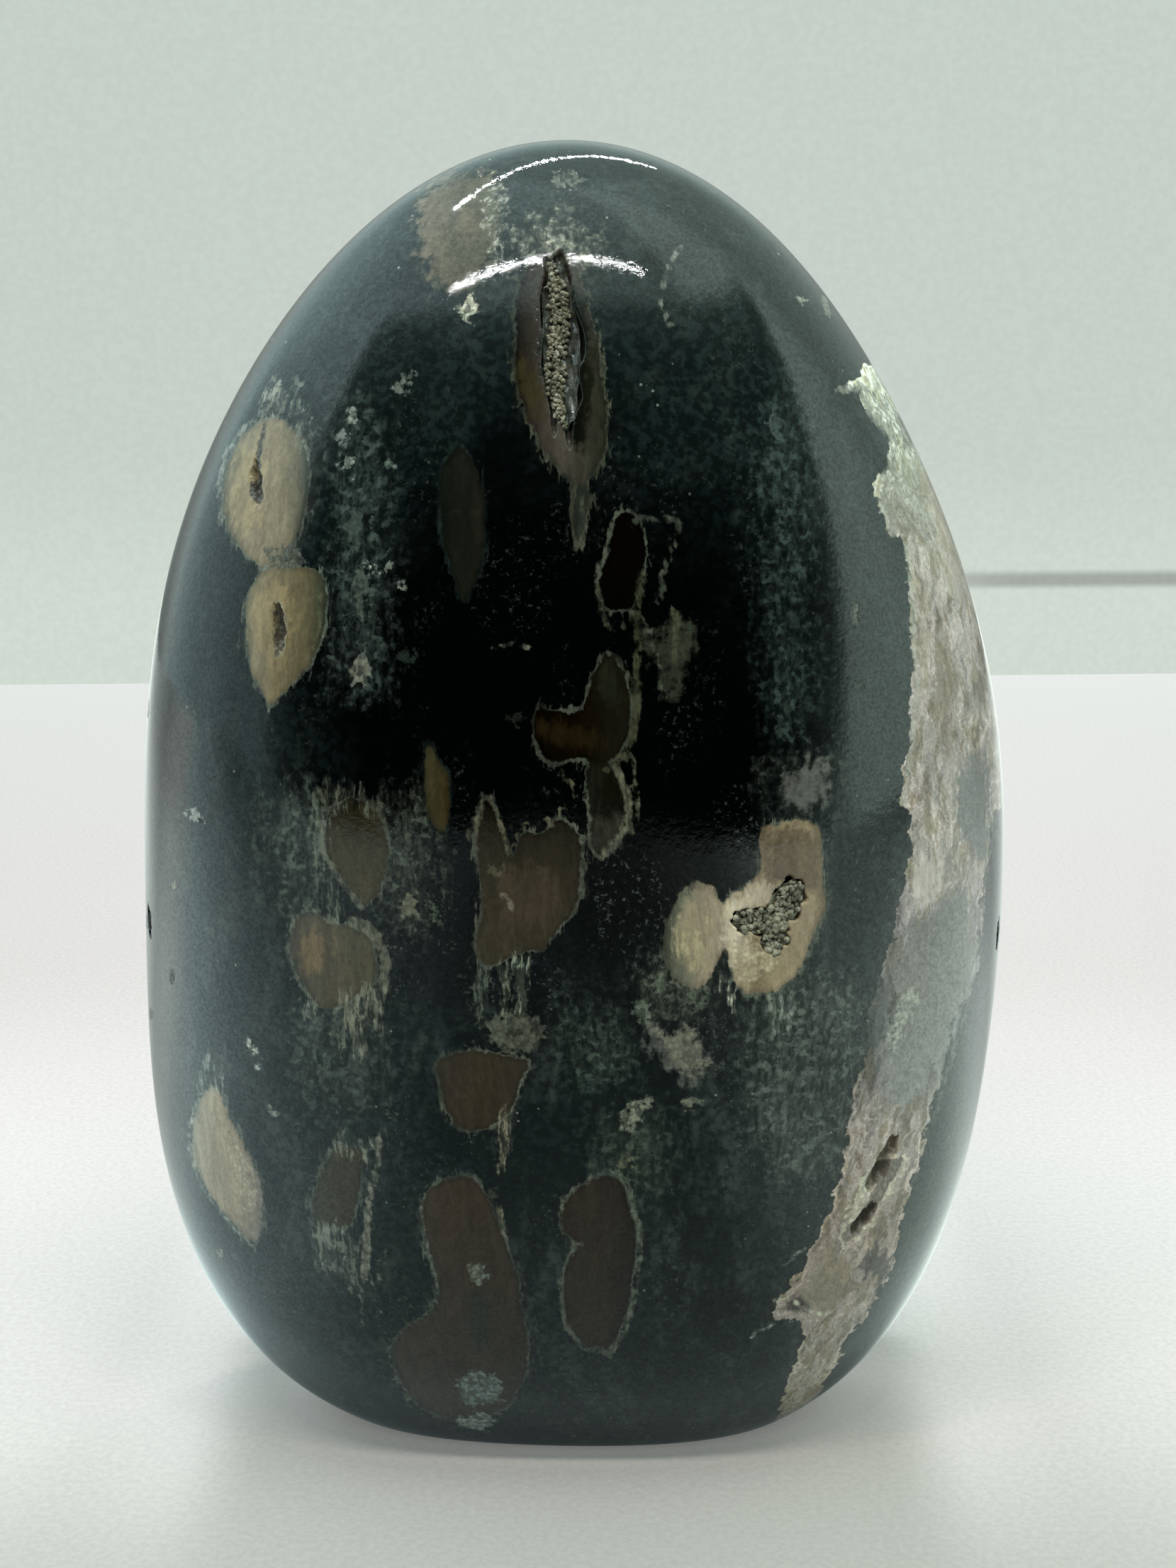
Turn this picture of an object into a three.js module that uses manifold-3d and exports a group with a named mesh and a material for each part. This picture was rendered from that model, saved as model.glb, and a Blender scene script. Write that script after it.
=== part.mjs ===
// A standing freeform of ocean jasper: one polished, egg-shaped stone with a ground flat foot.
// Millimetres. +Z is up, +X is to the right as the show face is seen, and -Y is that face.
// The origin is under the middle of the stone, level with its foot.
import * as THREE from "three";
import { mergeVertices } from "three/addons/utils/BufferGeometryUtils.js";
import Module from "manifold-3d";

const wasm = await Module();
wasm.setup();

// Driving dimensions of the stone.
const WIDTH = 60;
const DEPTH = 35;
const HEIGHT = 90;

// The pebble before its foot was ground: an egg outline, swelling from its rim to two domed faces.
const HALF_WIDTH = 0.557 * WIDTH;
const HALF_HEIGHT = 0.481 * HEIGHT;
const HALF_DEPTH = 0.5 * DEPTH;
const RIM_CENTRE_HEIGHT = 0.456 * HEIGHT;
// How far the middle of the stone bows away from the show face, which makes that face the flatter one.
const BOW = 0.043 * DEPTH;
// 2 would be an ellipsoid; more makes the faces flatter and the flanks rounder.
const FACE_FLATNESS = 2.6;
// Slow waves in the outline's radius: how many to a turn, and the cosine and sine share of each.
const OUTLINE_WAVES = [
  { count: 2, cosine: -0.09, sine: 0 },
  { count: 3, cosine: 0.006, sine: -0.036 },
  { count: 4, cosine: -0.016, sine: 0.003 },
  { count: 5, cosine: 0.006, sine: 0.017 },
];
// The polish has softened the edge of the ground foot by this much.
const FOOT_EDGE = 0.5;
const STONE_DETAIL = 15;

// Hollows that break the polish. x and z are the middle of the mouth, on the show face.
// lean turns the hollow's long way clockwise from upright, in degrees.
const POCKETS = [
  { name: "druse_pocket", x: -0.6, z: 77.4, width: 2.5, length: 11.4, depth: 1.5, lean: -3 },
  { name: "vug_upper_lobe", x: 13.6, z: 42.4, width: 2.2, length: 3.8, depth: 1.6, lean: 28 },
  { name: "vug_left_lobe", x: 11.8, z: 41.4, width: 3.4, length: 1.7, depth: 1.4, lean: 8 },
  { name: "vug_lower_lobe", x: 13.0, z: 40.3, width: 1.8, length: 2.4, depth: 1.3, lean: 12 },
  { name: "seam_pocket_high", x: 20.7, z: 23.6, width: 1.3, length: 4.6, depth: 0.9, lean: 30 },
  { name: "seam_pocket_low", x: 19.5, z: 19.6, width: 1.1, length: 2.8, depth: 0.8, lean: 42 },
  { name: "slit_high", x: -20.0, z: 68.6, width: 0.9, length: 3.0, depth: 0.7, lean: -8 },
  { name: "slit_low", x: -18.4, z: 59.8, width: 0.9, length: 3.2, depth: 0.7, lean: -3 },
  { name: "chip_left_high", x: -29.3, z: 52.8, width: 0.8, length: 2.0, depth: 0.5, lean: 10 },
  { name: "chip_left_low", x: -28.9, z: 38.4, width: 1.0, length: 2.4, depth: 0.6, lean: -12 },
  { name: "chip_right", x: 29.2, z: 37.3, width: 0.9, length: 2.2, depth: 0.5, lean: 4 },
];
const POCKET_DETAIL = 3;
const POCKET_ROUGHNESS = 0.09;
// How far apart two points of the face are taken to find its slope there.
const PROBE = 0.05;

// The fine quartz crystals that line two of the hollows. Each crust fills the hollows it names.
const CRUSTS = [
  { name: "druse_crust", lines: ["druse_pocket"], crystals: 26 },
  { name: "vug_crust", lines: ["vug_upper_lobe", "vug_left_lobe", "vug_lower_lobe"], crystals: 7 },
];
const CRUST_GAP = 0.3;
const CRYSTAL_RADIUS = 0.26;
const CRYSTAL_LENGTH = 0.55;
const CRYSTAL_TILT = 0.35;
// The shortest crystals, as a share of the longest.
const SHORTEST_CRYSTAL = 0.6;
// The bed that the crystals grow from, as a share of the hollow's depth, and how far out they reach.
const BED_DEPTH = 0.45;
const CRYSTAL_SPREAD = 0.46;
const GOLDEN_ANGLE = Math.PI * (3 - Math.sqrt(5));

const DARK_JASPER = new THREE.MeshStandardMaterial({ color: 0x1b2a2a, roughness: 0.1, metalness: 0 });
const QUARTZ = new THREE.MeshStandardMaterial({ color: 0xa9a596, roughness: 0.3, metalness: 0 });

// The outline's radius at an angle, as a share of the plain ellipse's.
function outlineSwell(angle) {
  return OUTLINE_WAVES.reduce(
    (swell, wave) =>
      swell + wave.cosine * Math.cos(wave.count * angle) + wave.sine * Math.sin(wave.count * angle),
    1,
  );
}

// Grinds the underside flat at z = 0, with a soft edge.
function groundHeight(z) {
  if (z >= FOOT_EDGE) return z;
  return z <= -FOOT_EDGE ? 0 : (z + FOOT_EDGE) ** 2 / (4 * FOOT_EDGE);
}

// Moves a point of the unit ball to the pebble's surface: reach is 0 at a face's middle and 1 on the rim.
function pebblePoint(ball) {
  const angle = Math.atan2(ball.z, ball.x);
  const reach = Math.hypot(ball.x, ball.z) ** (2 / FACE_FLATNESS);
  const radius = reach * outlineSwell(angle);
  return new THREE.Vector3(
    HALF_WIDTH * radius * Math.cos(angle),
    HALF_DEPTH * ball.y + BOW * (1 - reach ** 2),
    groundHeight(RIM_CENTRE_HEIGHT + HALF_HEIGHT * radius * Math.sin(angle)),
  );
}

// The pebble as a closed geometry, and the move and scale that bring it to the driving dimensions.
function makePebble() {
  const geometry = new THREE.IcosahedronGeometry(1, STONE_DETAIL);
  const place = geometry.getAttribute("position");
  const point = new THREE.Vector3();
  for (let i = 0; i < place.count; i++) {
    place.setXYZ(i, ...pebblePoint(point.fromBufferAttribute(place, i)));
  }
  geometry.computeBoundingBox();
  const box = geometry.boundingBox;
  const size = box.getSize(new THREE.Vector3());
  const middle = box.getCenter(new THREE.Vector3()).setZ(box.min.z);
  const fit = new THREE.Vector3(WIDTH, DEPTH, HEIGHT).divide(size);
  geometry.translate(-middle.x, -middle.y, -middle.z).scale(fit.x, fit.y, fit.z);
  return { geometry, middle, fit };
}

const pebble = makePebble();

// The point of the show face at x and z, both measured on the finished stone.
function showFacePoint(x, z) {
  const across = (x / pebble.fit.x + pebble.middle.x) / HALF_WIDTH;
  const up = (z / pebble.fit.z + pebble.middle.z - RIM_CENTRE_HEIGHT) / HALF_HEIGHT;
  const reach = Math.hypot(across, up) / outlineSwell(Math.atan2(up, across));
  const depth = HALF_DEPTH * Math.sqrt(Math.max(0, 1 - reach ** FACE_FLATNESS));
  const y = BOW * (1 - reach ** 2) - depth;
  return new THREE.Vector3(x, (y - pebble.middle.y) * pebble.fit.y, z);
}

// A frame on the show face: X across, Y along the hollow's long way, Z out of the stone.
function faceFrame(pocket) {
  const here = showFacePoint(pocket.x, pocket.z);
  const inward = pocket.x > 0 ? -PROBE : PROBE;
  const across = showFacePoint(pocket.x + inward, pocket.z).sub(here).divideScalar(inward);
  const up = showFacePoint(pocket.x, pocket.z + PROBE).sub(here);
  const out = new THREE.Vector3().crossVectors(across, up).normalize();
  const along = up.normalize().applyAxisAngle(out, -THREE.MathUtils.degToRad(pocket.lean));
  const side = new THREE.Vector3().crossVectors(along, out);
  return new THREE.Matrix4().makeBasis(side, along, out).setPosition(here);
}

// A closed geometry as a solid that can be cut and joined.
function toSolid(geometry) {
  const bare = geometry.clone();
  bare.deleteAttribute("normal");
  bare.deleteAttribute("uv");
  const merged = mergeVertices(bare, 1e-4);
  return new wasm.Manifold(
    new wasm.Mesh({
      numProp: 3,
      vertProperties: merged.getAttribute("position").array,
      triVerts: new Uint32Array(merged.index.array),
    }),
  );
}

// The largest of a solid's separate bodies, which leaves out crumbs cut loose at its edge.
function largestBody(solid) {
  return solid.decompose().reduce((most, body) => (body.volume() > most.volume() ? body : most));
}

// A solid back as a named mesh.
function toMesh(name, solid, material) {
  const made = solid.getMesh();
  const geometry = new THREE.BufferGeometry();
  geometry.setAttribute("position", new THREE.BufferAttribute(made.vertProperties, 3));
  geometry.setIndex(new THREE.BufferAttribute(made.triVerts, 1));
  geometry.computeVertexNormals();
  const mesh = new THREE.Mesh(geometry, material);
  mesh.name = name;
  return mesh;
}

// The space of a hollow in its own frame: a rough lens, drawn in by inset on every side.
function pocketGeometry(pocket, inset) {
  const geometry = new THREE.IcosahedronGeometry(1, POCKET_DETAIL);
  const place = geometry.getAttribute("position");
  const point = new THREE.Vector3();
  const half = new THREE.Vector3(pocket.width / 2, pocket.length / 2, pocket.depth);
  for (let i = 0; i < place.count; i++) {
    point.fromBufferAttribute(place, i);
    const wobble = Math.sin(7 * point.x + 3 * point.z) + Math.sin(9 * point.y + 2 * point.x + pocket.x);
    point.multiplyScalar(1 + POCKET_ROUGHNESS * wobble).multiply(half.clone().subScalar(inset));
    place.setXYZ(i, ...point);
  }
  return geometry;
}

function pocketSolid(pocket, inset = 0) {
  return toSolid(pocketGeometry(pocket, inset).applyMatrix4(faceFrame(pocket)));
}

// One quartz crystal: a six-sided prism with a pyramid on it, standing along its own Z.
function crystalGeometry(radius, length) {
  const profile = [
    new THREE.Vector2(0, -length),
    new THREE.Vector2(radius, -length),
    new THREE.Vector2(radius, length / 2),
    new THREE.Vector2(0, length / 2 + radius * 1.3),
  ];
  return new THREE.LatheGeometry(profile, 6).rotateX(Math.PI / 2);
}

// The crystals of one hollow, on a sunflower spiral stretched to its mouth, and the bed they grew from.
function pocketCrystals(pocket, count) {
  const frame = faceFrame(pocket);
  const room = pocketSolid(pocket, CRUST_GAP);
  const floor = -BED_DEPTH * pocket.depth;
  const bed = new THREE.BoxGeometry(pocket.width, pocket.length, pocket.depth);
  bed.translate(0, 0, floor - pocket.depth / 2).applyMatrix4(frame);
  let grown = toSolid(bed);
  for (let i = 0; i < count; i++) {
    const reach = CRYSTAL_SPREAD * Math.sqrt((i + 0.5) / count);
    const turn = i * GOLDEN_ANGLE;
    const length = CRYSTAL_LENGTH * THREE.MathUtils.lerp(SHORTEST_CRYSTAL, 1, Math.sin(2.4 * i) ** 2);
    const crystal = crystalGeometry(CRYSTAL_RADIUS, length);
    crystal.rotateZ(turn).rotateX(CRYSTAL_TILT * Math.sin(1.7 * i));
    crystal.translate(pocket.width * reach * Math.cos(turn), pocket.length * reach * Math.sin(turn), floor);
    grown = grown.add(toSolid(crystal.applyMatrix4(frame)));
  }
  return grown.intersect(room);
}

function makeStone() {
  let solid = toSolid(pebble.geometry);
  for (const pocket of POCKETS) solid = solid.subtract(pocketSolid(pocket));
  return toMesh("stone", solid, DARK_JASPER);
}

function makeCrust(crust) {
  const hollows = POCKETS.filter((pocket) => crust.lines.includes(pocket.name));
  const solid = hollows
    .map((pocket) => pocketCrystals(pocket, crust.crystals))
    .reduce((joined, part) => joined.add(part));
  return toMesh(crust.name, largestBody(solid), QUARTZ);
}

const freeform = new THREE.Group();
freeform.add(makeStone());
for (const crust of CRUSTS) freeform.add(makeCrust(crust));

export default freeform;
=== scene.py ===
"""The ocean jasper freeform: its polished skin with every orb, rim and veil, its crystals, and a studio.

The stone's form is a flattened egg with domed faces. Its markings are outlines laid on a fine mesh of that
form as distances in millimetres, and the jasper finish turns those distances into colour, grain and gloss.
"""
import logging
import math
from dataclasses import dataclass, field
from enum import Enum

import bmesh
import bpy
import numpy as np
from mathutils import Matrix, Vector


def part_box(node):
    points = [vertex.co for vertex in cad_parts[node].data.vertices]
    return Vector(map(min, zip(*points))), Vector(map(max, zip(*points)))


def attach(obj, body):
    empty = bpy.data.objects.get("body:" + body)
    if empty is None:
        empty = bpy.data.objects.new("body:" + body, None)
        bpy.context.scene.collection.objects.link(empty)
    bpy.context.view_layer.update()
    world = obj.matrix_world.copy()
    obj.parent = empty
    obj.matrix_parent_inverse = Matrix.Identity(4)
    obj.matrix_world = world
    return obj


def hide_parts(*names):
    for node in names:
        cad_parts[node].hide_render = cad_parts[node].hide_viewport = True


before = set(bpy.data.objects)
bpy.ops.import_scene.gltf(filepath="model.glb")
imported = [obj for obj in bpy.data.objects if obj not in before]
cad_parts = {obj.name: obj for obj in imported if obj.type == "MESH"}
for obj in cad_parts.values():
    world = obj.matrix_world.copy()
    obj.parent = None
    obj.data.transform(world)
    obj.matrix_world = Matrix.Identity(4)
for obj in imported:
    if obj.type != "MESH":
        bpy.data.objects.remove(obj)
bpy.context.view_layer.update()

Array = np.ndarray
Point = tuple[float, float]
log = logging.getLogger("ocean_jasper")

MM = 0.001

# How much lighter the bare stone is than it looks on a side that faces the camera.
SEEN_TO_BARE = 0.95
# Distances past this many millimetres are all the same to the finish.
FAR_MM = 4.0
# The points of an egg's outline, and the share of its width that its lower end loses at most.
EGG_POINTS = 14
TIP_NARROWING = 0.6
# How strongly chalcedony and quartz bend light.
QUARTZ_INDEX = 1.54
# Half the patch of floor that the stone's sides hang over, in millimetres.
FOOT_HALF = (22.0, 9.0)
LAMP_BRIGHTNESS = 480.0


def to_linear(seen: str) -> tuple[float, float, float]:
    """The linear red, green and blue of a hex colour.

    Args:
        seen: The colour as six hex digits.

    Returns:
        Its three linear parts, from 0 to 1.
    """
    parts = (int(seen[i : i + 2], 16) / 255 for i in (0, 2, 4))
    return tuple(p / 12.92 if p <= 0.04045 else ((p + 0.055) / 1.055) ** 2.4 for p in parts)


def bare_colour(seen: str) -> Array:
    """The stone's own colour where the photograph shows the given one.

    Args:
        seen: The colour as six hex digits.

    Returns:
        The linear colour that the finish uses.
    """
    return np.minimum(np.array(to_linear(seen)) * SEEN_TO_BARE, 0.9)


def smooth_step(low: float, high: float, value: Array) -> Array:
    """A soft step from 0 at low to 1 at high.

    Args:
        low: Where the step starts.
        high: Where it ends.
        value: The numbers to step.

    Returns:
        The stepped numbers.
    """
    t = np.clip((value - low) / (high - low), 0, 1)
    return t * t * (3 - 2 * t)


# The stone's form


@dataclass(frozen=True)
class Hollow:
    """A hollow that breaks the polish, in millimetres.

    x and z are the middle of its mouth on the show face, and lean turns its long way clockwise, in degrees.
    """

    x: float
    z: float
    width: float
    length: float
    depth: float
    lean: float


class HollowName(Enum):
    """The hollows of the show face."""

    DRUSE = Hollow(-0.6, 77.4, 2.5, 11.4, 1.5, -3)
    VUG_UPPER = Hollow(13.6, 42.4, 2.2, 3.8, 1.6, 28)
    VUG_LEFT = Hollow(11.8, 41.4, 3.4, 1.7, 1.4, 8)
    VUG_LOWER = Hollow(13.0, 40.3, 1.8, 2.4, 1.3, 12)
    SEAM_HIGH = Hollow(20.7, 23.6, 1.3, 4.6, 0.9, 30)
    SEAM_LOW = Hollow(19.5, 19.6, 1.1, 2.8, 0.8, 42)
    SLIT_HIGH = Hollow(-20.0, 68.6, 0.9, 3.0, 0.7, -8)
    SLIT_LOW = Hollow(-18.4, 59.8, 0.9, 3.2, 0.7, -3)
    CHIP_LEFT_HIGH = Hollow(-29.3, 52.8, 0.8, 2.0, 0.5, 10)
    CHIP_LEFT_LOW = Hollow(-28.9, 38.4, 1.0, 2.4, 0.6, -12)
    CHIP_RIGHT = Hollow(29.2, 37.3, 0.9, 2.2, 0.5, 4)


@dataclass
class PebbleForm:
    """The ground egg shape, fitted to the box of the stone's node.

    The ratios are shares of the stone's width, thickness and height.
    """

    width: float = 60.0
    depth: float = 35.0
    height: float = 90.0
    half_width: float = 0.557
    half_height: float = 0.481
    rim_centre: float = 0.456
    bow: float = 0.043
    face_flatness: float = 2.6
    foot_edge: float = 0.5
    # Waves of the outline: count, cosine share, sine share.
    waves: tuple[tuple[int, float, float], ...] = (
        (2, -0.09, 0.0), (3, 0.006, -0.036), (4, -0.016, 0.003), (5, 0.006, 0.017),
    )
    middle: Array = field(default_factory=lambda: np.zeros(3))
    fit: Array = field(default_factory=lambda: np.ones(3))

    def swell(self, angle: Array) -> Array:
        """The outline's radius at each angle, as a share of the plain ellipse's."""
        total = np.ones_like(angle)
        for count, cosine, sine in self.waves:
            total = total + cosine * np.cos(count * angle) + sine * np.sin(count * angle)
        return total

    def raw(self, direction: Array) -> Array:
        """Points of the pebble before it is fitted to its box.

        Args:
            direction: Unit vectors; their distance from the Y axis is how far out on the face they lie.

        Returns:
            The points in millimetres.
        """
        angle = np.arctan2(direction[:, 2], direction[:, 0])
        reach = np.minimum(np.hypot(direction[:, 0], direction[:, 2]), 1)
        radius = reach * self.swell(angle)
        dome = np.sign(direction[:, 1]) * np.sqrt(1 - reach**self.face_flatness)
        x = self.half_width * self.width * radius * np.cos(angle)
        y = self.depth / 2 * dome + self.bow * self.depth * (1 - reach**2)
        z = self.height * (self.rim_centre + self.half_height * radius * np.sin(angle))
        edge = self.foot_edge
        z = np.where(z >= edge, z, np.where(z <= -edge, 0, (z + edge) ** 2 / (4 * edge)))
        return np.column_stack((x, y, z))

    def fit_to(self, low: Vector, high: Vector, directions: Array) -> None:
        """Finds the move and scale that bring the pebble to its box.

        Args:
            low: The box's lowest corner, in metres.
            high: The box's highest corner, in metres.
            directions: Unit vectors that cover the whole pebble.
        """
        points = self.raw(directions)
        lowest, highest = points.min(axis=0), points.max(axis=0)
        self.middle = (lowest + highest) / 2
        self.middle[2] = lowest[2]
        self.fit = (np.array(high) - np.array(low)) / MM / (highest - lowest)

    def points(self, direction: Array) -> Array:
        """Points of the finished pebble in millimetres, for unit vectors."""
        return (self.raw(direction) - self.middle) * self.fit

    def face_point(self, x: float, z: float) -> Vector:
        """The point of the show face at x and z, in millimetres."""
        across = (x / self.fit[0] + self.middle[0]) / (self.half_width * self.width)
        up = ((z / self.fit[2] + self.middle[2]) / self.height - self.rim_centre) / self.half_height
        reach = math.hypot(across, up) / float(self.swell(np.array(math.atan2(up, across))))
        dome = math.sqrt(max(0, 1 - reach**self.face_flatness))
        y = self.bow * self.depth * (1 - reach**2) - self.depth / 2 * dome
        return Vector((x, (y - self.middle[1]) * self.fit[1], z))

    def face_frame(self, hollow: Hollow) -> Matrix:
        """A frame on the show face at a hollow, in millimetres.

        Args:
            hollow: The hollow whose mouth is the frame's origin.

        Returns:
            A matrix with X across, Y along the hollow's long way and Z out of the stone.
        """
        probe = 0.05
        here = self.face_point(hollow.x, hollow.z)
        inward = -probe if hollow.x > 0 else probe
        across = (self.face_point(hollow.x + inward, hollow.z) - here) / inward
        up = self.face_point(hollow.x, hollow.z + probe) - here
        out = across.cross(up).normalized()
        along = Matrix.Rotation(-math.radians(hollow.lean), 3, out) @ up.normalized()
        side = along.cross(out)
        turn = Matrix((side, along, out)).transposed()
        return Matrix.Translation(here) @ turn.to_4x4()


# What the markings are made of


class Run(Enum):
    """Which way a marking's colours run."""

    ACROSS = 0
    DOWN = 1


class Layer(Enum):
    """The layers of colour, from the deepest to the topmost.

    Each holds its name, how soft its edge is, how far fine grain moves the edge, and how far upright flames
    move it, all three in millimetres. Its methods draw its marks.
    """

    VEIL = ("veil", 1.8, 0.9, 1.5)
    BAND = ("band", 0.05, 0.45, 0.08)
    INLAY = ("inlay", 0.45, 0.6, 0.6)
    BODY = ("body", 0.07, 0.14, 0.16)
    HEART = ("heart", 0.45, 0.4, 0.5)
    DRIP = ("drip", 0.3, 0.3, 0.9)
    RIM = ("rim", 0.09, 0.14, 0.08)
    SNOW = ("snow", 0.15, 0.55, 0.2)
    PIT = ("pit", 0.06, 0.12, 0.06)

    def __init__(self, label: str, soft: float, grain: float, flame: float) -> None:
        """Names the layer and its edge."""
        self.label = label
        self.soft = soft
        self.grain = grain
        self.flame = flame

    def area(self, shades: str, outline: str, strength: float = 1.0, run: Run = Run.ACROSS,
             halo: str = "") -> "Mark":
        """A mark with a closed outline, written as x,y pairs."""
        return Mark(self, shades, points_of(outline), 0.0, run, strength, halo)

    def stroke(self, shades: str, line: str, width: float, strength: float = 1.0) -> "Mark":
        """A mark along a line, written as x,y pairs."""
        return Mark(self, shades, points_of(line), width, strength=strength)

    def egg(self, shades: str, x: float, y: float, width: float, length: float, lean: float = 0.0,
            tip: float = 0.0, strength: float = 1.0, halo: str = "") -> "Mark":
        """A mark in the shape of an egg or a lens."""
        return Mark(self, shades, egg_outline(x, y, width, length, lean, tip), strength=strength, halo=halo)


@dataclass(frozen=True)
class Mark:
    """One marking: a closed outline, or a stroke where width isn't 0.

    shades are the colours as the photograph shows them, with spaces between them and evenly spaced from the
    outline's left to its right or from its top to its bottom. halo is the colour of the pale rim round a body
    that has one.
    """

    layer: Layer
    shades: str
    outline: tuple[Point, ...]
    width: float = 0.0
    run: Run = Run.ACROSS
    strength: float = 1.0
    halo: str = ""


def points_of(pairs: str) -> tuple[Point, ...]:
    """The points of a line that is written as x,y pairs with spaces between them."""
    return tuple(tuple(float(part) for part in pair.split(",")) for pair in pairs.split())


def rounded(outline: tuple[Point, ...], closed: bool) -> Array:
    """Cuts an outline's corners twice, which leaves a smooth curve.

    Args:
        outline: The listed points.
        closed: Whether the last point joins the first.

    Returns:
        The smooth curve's points.
    """
    points = np.array(outline, dtype=float)
    for _ in range(2):
        after = np.roll(points, -1, axis=0) if closed else points[1:]
        before = points if closed else points[:-1]
        cut = np.stack((0.75 * before + 0.25 * after, 0.25 * before + 0.75 * after), axis=1).reshape(-1, 2)
        points = cut if closed else np.vstack((points[:1], cut, points[-1:]))
    return points


def line_distance(places: Array, line: Array) -> Array:
    """How far each place is from a line of points."""
    nearest = np.full(len(places), np.inf)
    for start, end in zip(line[:-1], line[1:]):
        way = end - start
        length = max(float(way @ way), 1e-12)
        share = np.clip((places - start) @ way / length, 0, 1)
        gap = places - start - share[:, None] * way
        nearest = np.minimum(nearest, np.einsum("ij,ij->i", gap, gap))
    return np.sqrt(nearest)


def is_inside(places: Array, ring: Array) -> Array:
    """Whether each place is inside a closed ring of points."""
    inside = np.zeros(len(places), dtype=bool)
    for start, end in zip(ring[:-1], ring[1:]):
        if start[1] == end[1]:
            continue
        spans = (start[1] > places[:, 1]) != (end[1] > places[:, 1])
        crossing = start[0] + (places[:, 1] - start[1]) * (end[0] - start[0]) / (end[1] - start[1])
        inside ^= spans & (places[:, 0] < crossing)
    return inside


def egg_outline(x: float, y: float, width: float, length: float, lean: float,
                tip: float) -> tuple[Point, ...]:
    """The outline of an egg or lens, with y down the page.

    Args:
        x: Its middle across.
        y: Its middle down.
        width: Its full width.
        length: Its full length.
        lean: How far its top turns clockwise, in degrees.
        tip: How far its lower end is drawn to a point, from 0 to 1.

    Returns:
        Its outline.
    """
    points = []
    turn = math.radians(lean)
    for i in range(EGG_POINTS):
        angle = math.tau * i / EGG_POINTS
        across = width / 2 * math.sin(angle)
        down = -length / 2 * math.cos(angle)
        across *= 1 - tip * max(0.0, 2 * down / length) ** 2 * TIP_NARROWING
        points.append((
            x + across * math.cos(turn) - down * math.sin(turn),
            y + across * math.sin(turn) + down * math.cos(turn),
        ))
    return tuple(points)


VEIL, BAND, INLAY, BODY, HEART, DRIP, RIM, SNOW, PIT = Layer

# The markings that the photograph shows, in its own pixels (1659 across, 2212 down)

TOP_MARKS = (
    INLAY.area(
        "716553 554e3d 57513f", "588,305 598,268 640,246 700,240 708,290 704,345 682,388 650,420 612,400 "
        "592,350", 0.5),
    HEART.egg("615542", 661, 316, 20, 44, strength=0.4),
    DRIP.area("9c9b90", "690,255 712,260 712,340 700,372 686,340", 0.7),
    SNOW.area("53564d", "775,248 800,238 822,246 812,262 786,270", 0.7),
    VEIL.area("a9a593", "752,352 766,328 800,326 814,350 804,374 764,374", 0.6),
    SNOW.egg("acab96", 663, 433, 26, 30, strength=0.8),
    SNOW.area("66685f", "554,548 575,528 589,520 580,540 560,556", 0.8),
    PIT.egg("1f190f", 678, 241, 22, 9, 60),
    HEART.area("030303", "908,348 935,336 972,338 966,368 942,382 920,398", 0.7),
    RIM.stroke("75766d", "958,350 945,372 938,396 930,420 938,446 950,466", 8, 0.6),
    RIM.stroke("efeee0", "1096,322 1112,336", 7, 0.7),
    RIM.stroke("87877b", "1162,420 1168,444", 7, 0.6),
    SNOW.egg("83887d", 1132, 424, 9, 10, strength=0.7),
)

CROWN_MARKS = (
    BODY.area(
        "090603 3f3932 1c1f16", "737,375 728,425 726,471 729,547 737,574 756,612 775,647 802,674 821,689 "
        "837,670 854,635 855,593 851,544 844,486 833,440 823,402 815,375 775,362", halo="45463a"),
    HEART.area(
        "030302 10120b", "800,392 821,402 833,467 835,544 829,628 812,640 803,601 806,547 808,505 "
        "800,448"),
    HEART.area("2f2917", "734,500 752,515 768,570 764,600 744,575 732,545", 0.7),
    RIM.stroke("030302", "819,380 835,440 846,486 853,544 857,593 855,637 838,672", 4, 0.7),
    RIM.stroke("020302", "733,380 724,425 722,475 726,547 735,577 756,616", 3, 0.6),
    SNOW.area(
        "1e1d17 030302", "775,392 789,425 803,463 810,505 797,540 806,578 813,593 795,607 783,578 768,540 "
        "758,509 760,478 764,448 768,417"),
    BODY.area("19201b", "808,684 829,684 831,715 822,746 816,777 811,730", 0.8, halo="45463a"),
    RIM.stroke("3f4036", "821,700 822,731 818,765", 5, 0.8),
)

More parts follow.
